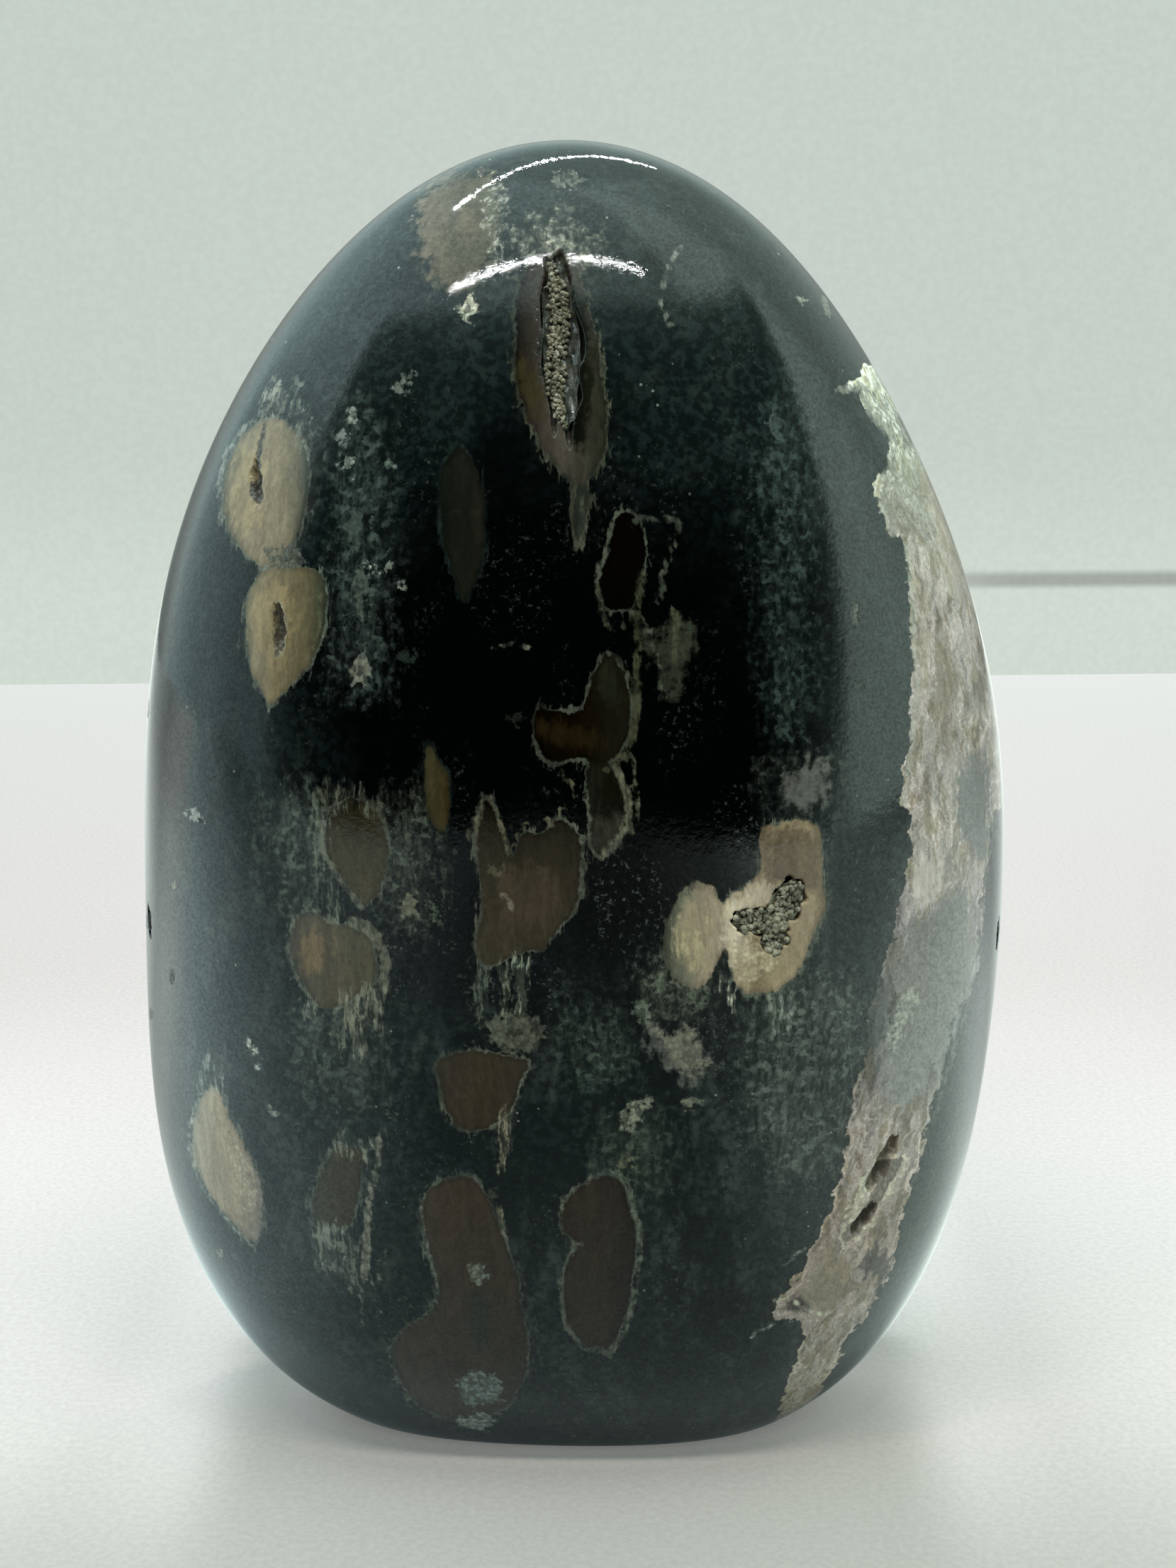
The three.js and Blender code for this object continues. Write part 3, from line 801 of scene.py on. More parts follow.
BACK_MARKS = (
    *orb(-13, 66, 7.5, 16, BROWN, -4, "57482a"),
    *orb(2, 73, 5.5, 9, CREAM, 3),
    *orb(14, 60, 6.5, 10.5, OLIVE, 6),
    *orb(-3, 50, 8.5, 13, BLUSH, 2, "5f4c3c"),
    *orb(-20, 43, 6, 11, CREAM, -6, "9a9472"),
    *orb(11, 40, 9, 11, BROWN, -3, "4c3312"),
    *orb(-9, 28, 7, 12, OLIVE, 4),
    *orb(17, 22, 5, 10, CREAM, 8, drip=False),
    *orb(3, 16, 8, 15, OLIVE, -3, "1d1e17", drip=False),
    *orb(-17, 14, 5, 8, BROWN, -8, drip=False),
    VEIL.area("5c625b", "-6,-80 0,-60 1,-38 -3,-30 -7,-45 -9,-65", 0.6),
    VEIL.area("4a5450", "18,-70 23,-55 22,-35 17,-30 16,-50", 0.6),
    SNOW.egg("7c8078", 6, -61, 1.2, 3.4, 6, strength=0.8),
    SNOW.egg("7b8e98", 3.5, -12, 3, 2, strength=0.7),
    PIT.egg("26271f", -20.5, -44, 0.7, 3.4, 3),
    SNOW.egg("9b9a8c", -3.2, -51, 2.4, 4.2, 12, strength=0.8),
    RIM.stroke("6a6d62", "8,-55 8.4,-50 7.8,-46 8.6,-43", 0.35, 0.8),
)
LEFT_FLANK_MARKS = (
    *orb(-2, 62, 5, 9, CREAM, 3, "9a9472"),
    *orb(3, 45, 4.5, 8, OLIVE, -4),
    *orb(-4, 31, 5, 9, BROWN, 2, "6f543a"),
    *orb(4, 17, 4, 7, CREAM, -6, drip=False),
    VEIL.area("4c5548", "-1,-58 2,-50 1,-36 -3,-40", 0.6),
)
# The band goes on round the right flank and climbs over the back's edge.
RIGHT_FLANK_MARKS = (
    BAND.area(
        "a2a092 9b9688 877f72 8a8176 8e877e", "-18,-70 -12,-74.5 -7,-76.5 -2,-75 1,-71 2.5,-66 1,-62 "
        "2.5,-58 1,-54.5 -1.5,-52 -1,-49 -4,-47.5 -6,-44 -9,-43 -11,-39 -14,-37 -16,-43 -20,-50 "
        "-20,-66", run=Run.DOWN),
    INLAY.area("827c6e", "-5,-71 -1,-66 0,-58 -3,-52 -6,-60", 0.6),
    SNOW.area("aaa899", "-3,-56 0,-54 -2,-49 -5,-50", 0.5),
    *orb(5, 30, 5, 9, BROWN, 4, "57482a"),
    *orb(-1, 15, 4, 7, OLIVE, -5, drip=False),
)


@dataclass(frozen=True)
class PhotoChart:
    """Lays marks on the stone as the photograph's camera sees it, in its pixels."""

    place: tuple[float, float, float]
    pitch: float
    focal: float
    centre: Point
    marks: tuple[Mark, ...]

    def lay(self, points: Array, normals: Array) -> tuple[Array, Array, Array]:
        """Finds where each point of the stone is in the photograph.

        Args:
            points: The stone's points in millimetres.
            normals: Their outward directions.

        Returns:
            The places in pixels, the pixels in a millimetre there, and from 0 to 1 how fully each is seen.
        """
        away = points - np.array(self.place)
        cosine, sine = math.cos(math.radians(self.pitch)), math.sin(math.radians(self.pitch))
        ahead = away[:, 1] * cosine - away[:, 2] * sine
        above = away[:, 1] * sine + away[:, 2] * cosine
        scale = self.focal / ahead
        places = np.column_stack((self.centre[0] + scale * away[:, 0], self.centre[1] - scale * above))
        facing = -np.einsum("ij,ij->i", away, normals) / np.linalg.norm(away, axis=1)
        return places, scale, smooth_step(-0.04, 0.06, facing)


@dataclass(frozen=True)
class FlankChart:
    """Lays marks on a side that the photograph doesn't show, in millimetres.

    azimuth is where the side faces: 0 is the show face, 90 the right flank, 180 the back.
    """

    azimuth: float
    spread: float
    marks: tuple[Mark, ...]

    def lay(self, points: Array, normals: Array) -> tuple[Array, Array, Array]:
        """Finds where each point of the stone is on this side.

        Args:
            points: The stone's points in millimetres.
            normals: Their outward directions.

        Returns:
            The places in millimetres with y down, a scale of 1, and how fully each is on this side, from 0
            to 1.
        """
        turn = math.radians(self.azimuth)
        out = np.array((math.sin(turn), -math.cos(turn)))
        right = np.array((math.cos(turn), math.sin(turn)))
        places = np.column_stack((points[:, :2] @ right, -points[:, 2]))
        level = normals[:, :2] / np.maximum(np.linalg.norm(normals[:, :2], axis=1, keepdims=True), 1e-6)
        edge = math.cos(math.radians(self.spread))
        return places, np.ones(len(points)), smooth_step(edge - 0.12, edge + 0.12, level @ out)


Chart = PhotoChart | FlankChart


class Painter:
    """Gathers each point's distance inside the nearest mark, and that mark's colour and halo."""

    def __init__(self, count: int) -> None:
        """Starts with every point far from any mark."""
        self.inside = np.full(count, -FAR_MM)
        self.tint = np.zeros((count, 4))
        self.halo = np.zeros((count, 4))

    def lay(self, mark: Mark, places: Array, scale: Array, seen: Array) -> None:
        """Lays one mark.

        Args:
            mark: The mark to lay.
            places: Where each point is on the mark's chart.
            scale: The chart's units in a millimetre at each point.
            seen: How fully each point is on the chart, from 0 to 1.
        """
        outline = rounded(mark.outline, mark.width == 0)
        margin = FAR_MM * float(scale.max()) + mark.width
        low, high = outline.min(axis=0), outline.max(axis=0)
        near = np.all((places > low - margin) & (places < high + margin), axis=1) & (seen > 0)
        spots = places[near]
        if mark.width:
            distance = mark.width / 2 - line_distance(spots, outline)
        else:
            ring = np.vstack((outline, outline[:1]))
            distance = line_distance(spots, ring) * np.where(is_inside(spots, ring), 1, -1)
        distance = np.clip(distance / scale[near], -FAR_MM, FAR_MM)
        axis = mark.run.value
        share = np.clip((spots[:, axis] - low[axis]) / (high[axis] - low[axis]), 0, 1)
        colours = np.array([bare_colour(shade) for shade in mark.shades.split()])
        stops = np.linspace(0, 1, len(colours))
        tint = np.column_stack([np.interp(share, stops, colours[:, i]) for i in range(3)])
        here = np.flatnonzero(near)
        nearer = distance > self.inside[here]
        chosen = here[nearer]
        self.inside[chosen] = distance[nearer]
        self.tint[chosen, :3] = tint[nearer]
        self.tint[chosen, 3] = mark.strength
        self.halo[chosen] = (*bare_colour(mark.halo), 1.0) if mark.halo else (0.0, 0.0, 0.0, 0.0)


@dataclass(frozen=True)
class Sheet:
    """Where the stone's points are on one chart, and how much each point takes from it."""

    marks: tuple[Mark, ...]
    places: Array
    scale: Array
    share: Array


def lay_sheets(charts: tuple[Chart, ...], points: Array, normals: Array) -> list[Sheet]:
    """Shares the stone's points out between its charts, the photograph's first.

    Args:
        charts: The charts, the one to prefer first.
        points: The stone's points in millimetres.
        normals: Their outward directions.

    Returns:
        One sheet for each chart; a point's shares come to 1.
    """
    sheets = []
    left = np.ones(len(points))
    for chart in charts:
        places, scale, seen = chart.lay(points, normals)
        share = left * seen
        left = left - share
        sheets.append(Sheet(chart.marks, places, scale, share))
    return sheets


def paint(layer: Layer, sheets: list[Sheet], count: int) -> Painter:
    """Lays all the marks of one layer, and blends the charts where they meet.

    Args:
        layer: The layer.
        sheets: The charts' sheets.
        count: How many points the stone has.

    Returns:
        The layer's distances, colours and halos.
    """
    whole = Painter(count)
    whole.inside[:] = 0.0
    rest = np.ones(count)
    weight = np.full(count, 1e-6)
    for sheet in sheets:
        painter = Painter(count)
        for mark in sheet.marks:
            if mark.layer is layer:
                painter.lay(mark, sheet.places, sheet.scale, sheet.share)
        whole.inside += sheet.share * painter.inside
        rest -= sheet.share
        near = sheet.share * (painter.inside > -FAR_MM)
        weight += near
        whole.tint += near[:, None] * painter.tint
        whole.halo += near[:, None] * painter.halo
    whole.inside -= rest * FAR_MM
    whole.tint /= weight[:, None]
    whole.halo /= weight[:, None]
    return whole


# The node network


Socket = bpy.types.NodeSocket
Feed = float | tuple[float, ...] | Socket


class NodeBoard:
    """Adds the nodes of one material or world and links them."""

    def __init__(self, tree: bpy.types.NodeTree) -> None:
        """Takes an empty node tree."""
        self.tree = tree
        tree.nodes.clear()

    def add(self, kind: str, settings: dict[str, object] | None = None, **feeds: Feed) -> bpy.types.Node:
        """Adds a node.

        Args:
            kind: The node's type, without its ShaderNode prefix.
            settings: Attributes of the node itself.
            feeds: A number, colour or socket for each input, named with _ for a space or by in_ and its
                place.

        Returns:
            The node.
        """
        node = self.tree.nodes.new("ShaderNode" + kind)
        for name, value in (settings or {}).items():
            setattr(node, name, value)
        for name, feed in feeds.items():
            key = int(name[3:]) if name.startswith("in_") else name.replace("_", " ")
            socket = node.inputs[key]
            if isinstance(feed, bpy.types.NodeSocket):
                self.tree.links.new(feed, socket)
            else:
                socket.default_value = feed
        return node

    def math(self, operation: str, *numbers: Feed, clamp: bool = False) -> Socket:
        """The result of a sum on one to three numbers."""
        feeds = {f"in_{i}": number for i, number in enumerate(numbers)}
        return self.add("Math", {"operation": operation, "use_clamp": clamp}, **feeds).outputs[0]

    def scaled(self, number: Feed, factor: Feed, more: Feed) -> Socket:
        """A number times a factor, and more added to it."""
        return self.math("MULTIPLY_ADD", number, factor, more)

    def plus(self, number: Feed, more: Feed) -> Socket:
        """The sum of two numbers."""
        return self.math("ADD", number, more)

    def rest(self, share: Feed) -> Socket:
        """What a share leaves of 1."""
        return self.math("SUBTRACT", 1.0, share)

    def product(self, *numbers: Feed) -> Socket:
        """The product of two or more numbers."""
        result = numbers[0]
        for number in numbers[1:]:
            result = self.math("MULTIPLY", result, number)
        return result

    def mix(self, share: Feed, first: Feed, second: Feed, blend: str = "MIX") -> Socket:
        """The result of mixing two colours."""
        settings = {"data_type": "RGBA", "blend_type": blend}
        return self.add("Mix", settings, in_0=share, in_6=first, in_7=second).outputs[2]

    def step(self, low: float, high: float, value: Feed, start: float = 0.0, end: float = 1.0) -> Socket:
        """A smooth step from start at low to end at high."""
        settings = {"interpolation_type": "SMOOTHSTEP"}
        node = self.add("MapRange", settings, in_0=value, in_1=low, in_2=high, in_3=start, in_4=end)
        return node.outputs[0]

    def lit(self, colour: Feed, light: Socket) -> Socket:
        """A colour made lighter or darker by a factor."""
        grey = self.add("CombineColor", in_0=light, in_1=light, in_2=light).outputs[0]
        return self.mix(1.0, colour, grey, "MULTIPLY")

    def attribute(self, name: str) -> bpy.types.Node:
        """One of the stone's own attributes."""
        return self.add("Attribute", {"attribute_name": name})

    def parts(self, place: Socket) -> tuple[Socket, Socket, Socket]:
        """The X, Y and Z of a place."""
        outputs = self.add("SeparateXYZ", Vector=place).outputs
        return outputs[0], outputs[1], outputs[2]

    def end_with(self, kind: str, **feeds: Feed) -> None:
        """Ends a material's nodes with a shader."""
        self.add("OutputMaterial", Surface=self.add(kind, **feeds).outputs[0])

    def object_mm(self) -> Socket:
        """Object coordinates in millimetres."""
        return self.stretched(self.add("TexCoord").outputs["Object"], (1 / MM,) * 3)

    def noise(self, place: Socket, size: float, detail: float = 2.0, rough: float = 0.5) -> Socket:
        """Noise whose lumps are about size millimetres, from 0 to 1."""
        return self.add("TexNoise", Vector=place, Scale=1 / size, Detail=detail, Roughness=rough).outputs[0]

    def stretched(self, place: Socket, stretch: tuple[float, float, float]) -> Socket:
        """A place times a stretch."""
        return self.add("VectorMath", {"operation": "MULTIPLY"}, in_0=place, in_1=stretch).outputs[0]

    def warped(self, place: Socket, reach: float, size: float) -> Socket:
        """A place pushed about by up to reach millimetres, in swirls of about size millimetres."""
        push = self.add("TexNoise", Vector=place, Scale=1 / size, Detail=2.0).outputs["Color"]
        settings = {"operation": "MULTIPLY_ADD"}
        moved = self.add("VectorMath", settings, in_0=push, in_1=(reach * 2,) * 3, in_2=place)
        return moved.outputs[0]

    def cells(self, place: Socket, size: float) -> bpy.types.Node:
        """A cell pattern whose cells are about size millimetres."""
        return self.add("TexVoronoi", Vector=place, Scale=1 / size)


# The finishes


def new_material(name: str) -> bpy.types.Material:
    """A new material with nodes."""
    material = bpy.data.materials.new(name)
    material.use_nodes = True
    return material


class JasperBoard(NodeBoard):
    """The jasper's nodes, and the patterns that all its layers share."""

    def __init__(self, tree: bpy.types.NodeTree) -> None:
        """Takes an empty node tree and adds the patterns' nodes."""
        super().__init__(tree)
        self.place = self.object_mm()
        swayed = self.warped(self.place, 0.45, 2.2)
        self.upright = self.stretched(swayed, (1.0, 1.0, 0.13))
        self.leaning = self.stretched(swayed, (1.0, 1.0, 0.4))
        self.height = self.parts(self.place)[2]
        self.cloud = self.noise(self.place, 9.0, 4.0, 0.55)
        self.patch = self.noise(self.place, 1.7, 3.0, 0.55)
        self.fine = self.noise(self.place, 0.55, 4.0, 0.6)
        self.tiny = self.noise(self.place, 0.2, 2.0, 0.6)
        self.flame = self.noise(self.upright, 0.75, 3.0, 0.6)
        self.comb = self.noise(self.upright, 0.3, 4.0, 0.68)
        self.fibre = self.noise(self.leaning, 0.3, 3.0, 0.65)
        grains = self.cells(self.place, 0.34)
        self.grain = grains.outputs["Distance"]
        self.grain_number = self.add("SeparateColor", Color=grains.outputs["Color"]).outputs[0]
        self.wobble = self.math("SUBTRACT", self.fine, 0.5)
        self.sway = self.math("SUBTRACT", self.noise(self.warped(self.place, 0.6, 1.5), 1.3, 5.0, 0.6), 0.5)
        self.lick = self.math("SUBTRACT", self.flame, 0.5)


@dataclass(frozen=True)
class JasperFinish:
    """Polished jasper: dark glassy chalcedony with the layers of markings over it."""

    deep: str = "010202"
    dark: str = "0d1413"
    teal: str = "1a2423"
    cloud: str = "373d3a"
    fleck: str = "4b4f4a"
    speck: str = "8a8f86"
    hollow_shade: str = "2c2822"
    polish: float = 0.035
    specular: float = 0.27
    # The black heart of the show face, and how far from it the mottling starts and is full, in millimetres.
    calm_centre: tuple[float, float, float] = (-1.0, -18.0, 54.0)
    calm_reach: tuple[float, float] = (20.0, 36.0)

    def rgba(self, seen: str) -> tuple[float, float, float, float]:
        """A seen colour as the bare colour of a socket."""
        return (*bare_colour(seen), 1.0)

    def make(self) -> bpy.types.Material:
        """Builds the material.

        Returns:
            The jasper material.
        """
        material = new_material("polished_jasper")
        board = JasperBoard(material.node_tree)
        colour = self.ground(board)
        amounts: dict[Layer, Socket] = {}
        for layer in Layer:
            inside = board.attribute(f"{layer.label}_mm").outputs["Fac"]
            tint = board.attribute(f"{layer.label}_tint")
            coarse = board.sway if layer is BAND else board.wobble
            edge = board.scaled(coarse, 4 * layer.grain, inside)
            edge = board.scaled(board.lick, 4 * layer.flame, edge)
            if layer is BODY:
                colour = self.haloed(board, colour, edge)
            cover = board.product(board.step(-layer.soft, layer.soft, edge), tint.outputs["Alpha"])
            amounts[layer] = self.broken(board, layer, cover)
            shade = self.shaded(board, layer, tint.outputs["Color"], edge)
            colour = board.mix(amounts[layer], colour, shade)
        hollow = board.attribute("hollow").outputs["Fac"]
        dust = board.mix(board.step(0.4, 0.6, board.fine), self.rgba(self.hollow_shade),
                         self.rgba(self.cloud))
        colour = board.mix(board.product(hollow, 0.4), colour, dust)
        rough = board.scaled(board.fine, 0.03, self.polish - 0.015)
        rough = board.math("MAXIMUM", rough, board.product(hollow, 0.55))
        rough = board.math("MAXIMUM", rough, board.product(amounts[PIT], 0.4))
        rough = board.math("MAXIMUM", rough, board.product(amounts[SNOW], 0.16))
        relief = self.relief(board, amounts, hollow)
        glint = board.product(board.step(0.3, 0.7, board.tiny, 0.76, 1.24), self.specular)
        board.end_with("BsdfPrincipled", Base_Color=colour, Roughness=rough, IOR=QUARTZ_INDEX, Normal=relief,
                       Specular_IOR_Level=glint)
        return material

    def ground(self, board: JasperBoard) -> Socket:
        """The dark ground between the markings: fine mottling, smoke, flecks of moss and pale specks.

        Args:
            board: The jasper's nodes.

        Returns:
            The ground's colour.
        """
        away = board.add("VectorMath", {"operation": "DISTANCE"}, in_0=board.place, in_1=self.calm_centre)
        uneven = board.scaled(board.cloud, 16.0, away.outputs["Value"])
        lively = board.step(*self.calm_reach, uneven)
        low_down = board.step(58.0, 38.0, board.height, 0.35, 1.0)
        colour = board.mix(lively, self.rgba(self.deep), self.rgba(self.dark))
        mottle = board.product(board.step(0.44, 0.60, board.fine), lively)
        colour = board.mix(board.product(mottle, board.step(0.35, 0.60, board.cloud, 0.25, 0.85)), colour,
                           self.rgba(self.teal))
        drift = board.noise(board.leaning, 2.2, 5.0, 0.68)
        smoke = board.product(board.step(0.46, 0.66, drift), low_down, lively,
                              board.step(0.40, 0.60, board.fine, 0.25, 1.0))
        colour = board.mix(board.product(smoke, 0.8), colour, self.rgba(self.cloud))
        moss = board.product(board.step(0.57, 0.66, board.noise(board.place, 0.36, 4.0, 0.72)), low_down,
                             board.step(0.48, 0.62, board.noise(board.leaning, 4.0, 3.0)))
        colour = board.mix(board.product(moss, 0.75), colour, self.rgba(self.fleck))
        dots = board.cells(board.place, 1.1)
        dot = board.step(0.11, 0.04, dots.outputs["Distance"])
        rare = board.product(board.step(0.54, 0.68, board.noise(board.place, 3.0, 1.0)), lively)
        return board.mix(board.product(dot, rare, 0.8), colour, self.rgba(self.speck))

    def haloed(self, board: JasperBoard, colour: Socket, edge: Socket) -> Socket:
        """Adds the pale rim round each body, which runs out into upright threads.

        Args:
            board: The jasper's nodes.
            colour: The colour so far.
            edge: How far inside a body each point is, in millimetres.

        Returns:
            The colour with the rims.
        """
        halo = board.attribute("halo_tint")
        reach = board.step(0.38, 0.62, board.patch, 0.09, 0.34)
        reach = board.plus(reach, board.step(0.50, 0.72, board.comb, 0.0, 0.6))
        share = board.math("DIVIDE", board.plus(edge, reach), board.product(reach, 0.6))
        thread = board.step(0.38, 0.60, board.comb, 0.45, 1.0)
        cover = board.product(board.step(0.0, 1.0, share), thread, halo.outputs["Alpha"])
        light = board.step(0.3, 0.7, board.tiny, 0.75, 1.25)
        broken = board.step(0.40, 0.60, board.noise(board.leaning, 1.6, 3.0), 0.35, 0.95)
        return board.mix(board.product(cover, broken), colour, board.lit(halo.outputs["Color"], light))

    def broken(self, board: JasperBoard, layer: Layer, cover: Socket) -> Socket:
        """Breaks a layer's cover up as that layer grows.

        Args:
            board: The jasper's nodes.
            layer: The layer.
            cover: Its cover, from 0 to 1.

        Returns:
            The broken cover.
        """
        if layer is VEIL:
            haze = board.step(0.38, 0.66, board.fibre, 0.12, 0.75)
            fleck = board.step(0.50, 0.62, board.fine)
            return board.product(cover, board.math("MAXIMUM", haze, fleck))
        if layer is DRIP:
            return board.product(cover, board.step(0.47, 0.60, board.comb, 0.08, 1.0),
                                 board.step(0.35, 0.60, board.patch, 0.45, 1.0))
        if layer is RIM:
            return board.product(cover, board.step(0.34, 0.54, board.patch, 0.45, 1.0),
                                 board.step(0.40, 0.58, board.fibre, 0.4, 1.0))
        if layer is SNOW:
            return board.product(cover, board.step(0.15, 0.55, board.grain_number, 0.3, 1.0))
        return cover

    def shaded(self, board: JasperBoard, layer: Layer, tint: Socket, edge: Socket) -> Socket:
        """Varies a layer's colour as that layer grows.

        Args:
            board: The jasper's nodes.
            layer: The layer.
            tint: Its plain colour.
            edge: How far inside the layer each point is, in millimetres.

        Returns:
            The varied colour.
        """
        light = board.step(0.3, 0.7, board.tiny, 0.85, 1.15)
        if layer is BAND:
            along = board.add("CombineXYZ", X=board.product(edge, 1.1), Y=board.product(board.height, 0.13))
            stream = board.noise(board.warped(along.outputs[0], 0.5, 1.6), 0.42, 5.0, 0.62)
            flow = board.product(board.step(0.36, 0.50, stream, 0.62, 1.0),
                                 board.step(0.50, 0.64, stream, 1.0, 1.4))
            swirl = board.noise(board.warped(board.leaning, 1.6, 2.4), 1.1, 5.0, 0.62)
            flow = board.product(flow, board.step(0.40, 0.54, swirl, 0.72, 1.08))
            warm = board.mix(board.step(0.52, 0.42, swirl), tint, (1.02, 0.965, 0.77, 1), "MULTIPLY")
            vein = board.math("ABSOLUTE", board.math("SUBTRACT", swirl, 0.53))
            vein = board.step(0.022, 0.004, vein, 1.0, 1.35)
            clot = board.noise(board.warped(board.leaning, 0.9, 1.2), 0.62, 4.0, 0.62)
            warm = board.mix(board.step(0.58, 0.64, clot, 0.0, 0.75), warm, (0.62, 0.57, 0.47, 1), "MULTIPLY")
            return board.lit(warm, board.product(light, flow, vein, board.step(0.35, 0.1, edge, 1.0, 1.3)))
        if layer in (BODY, HEART):
            fibre = board.step(0.3, 0.7, board.fibre, 0.86, 1.14)
            thread = board.step(0.3, 0.7, board.flame, 0.84, 1.16)
            ring = board.step(0.0, 0.4, edge, 0.72, 1.0) if layer is BODY else 1.0
            grain = board.step(0.3, 0.7, board.tiny, 0.93, 1.07)
            return board.lit(tint, board.product(grain, fibre, thread, ring))
        if layer is SNOW:
            return board.lit(tint, board.product(light, board.step(0.0, 0.9, board.grain, 1.25, 0.7)))
        return board.lit(tint, board.product(light, board.step(0.3, 0.7, board.fine, 0.8, 1.2)))

    def relief(self, board: JasperBoard, amounts: dict[Layer, Socket], hollow: Socket) -> Socket:
        """The faint orange peel of the polish and the grain of what doesn't take it.

        Args:
            board: The jasper's nodes.
            amounts: How fully each layer covers the stone.
            hollow: From 0 to 1 how deep in a hollow a point is.

        Returns:
            The surface's normal.
        """
        peel = board.add("Bump", Strength=0.3, Distance=0.03 * MM, Height=board.fine)
        share = board.scaled(amounts[SNOW], 0.35, hollow)
        share = board.math("MULTIPLY_ADD", amounts[PIT], 0.6, share, clamp=True)
        return board.add("Bump", {"invert": True}, Strength=0.8, Distance=0.12 * MM,
                         Height=board.product(board.grain, share), Normal=peel.outputs[0]).outputs[0]


@dataclass(frozen=True)
class QuartzFinish:
    """Small quartz crystals: pale glassy points, each a little different."""

    name: str
    pale: str
    deep: str
    roughness: float = 0.2

    def make(self) -> bpy.types.Material:
        """Builds the material.

        Returns:
            The quartz material.
        """
        material = new_material(self.name)
        board = NodeBoard(material.node_tree)
        place = board.object_mm()
        patch = board.step(0.38, 0.62, board.noise(place, 0.7, 3.0, 0.6))
        colour = board.mix(patch, (*bare_colour(self.deep), 1), (*bare_colour(self.pale), 1))
        rough = board.step(0.3, 0.7, board.noise(place, 0.2), self.roughness * 0.6, self.roughness * 1.6)
        bump = board.add("Bump", Strength=0.3, Distance=0.02 * MM, Height=board.noise(place, 0.1))
        board.end_with("BsdfPrincipled", Base_Color=colour, Roughness=rough, IOR=QUARTZ_INDEX,
                       Normal=bump.outputs[0])
        return material


# The pieces


def to_object(bm: bmesh.types.BMesh, name: str, materials: tuple[bpy.types.Material, ...],
              smooth: bool = False) -> bpy.types.Object:
    """Turns a finished bmesh into a piece at the origin.

    Args:
        bm: The mesh in metres; it is freed.
        name: The piece's name.
        materials: Its finishes, in the order of its faces' numbers.
        smooth: Whether its faces are shaded smooth.

    Returns:
        The piece.
    """
    mesh = bpy.data.meshes.new(name)
    for face in bm.faces:
        face.smooth = smooth
    bm.to_mesh(mesh)
    bm.free()
    for material in materials:
        mesh.materials.append(material)
    made = bpy.data.objects.new(name, mesh)
    bpy.context.scene.collection.objects.link(made)
    return made


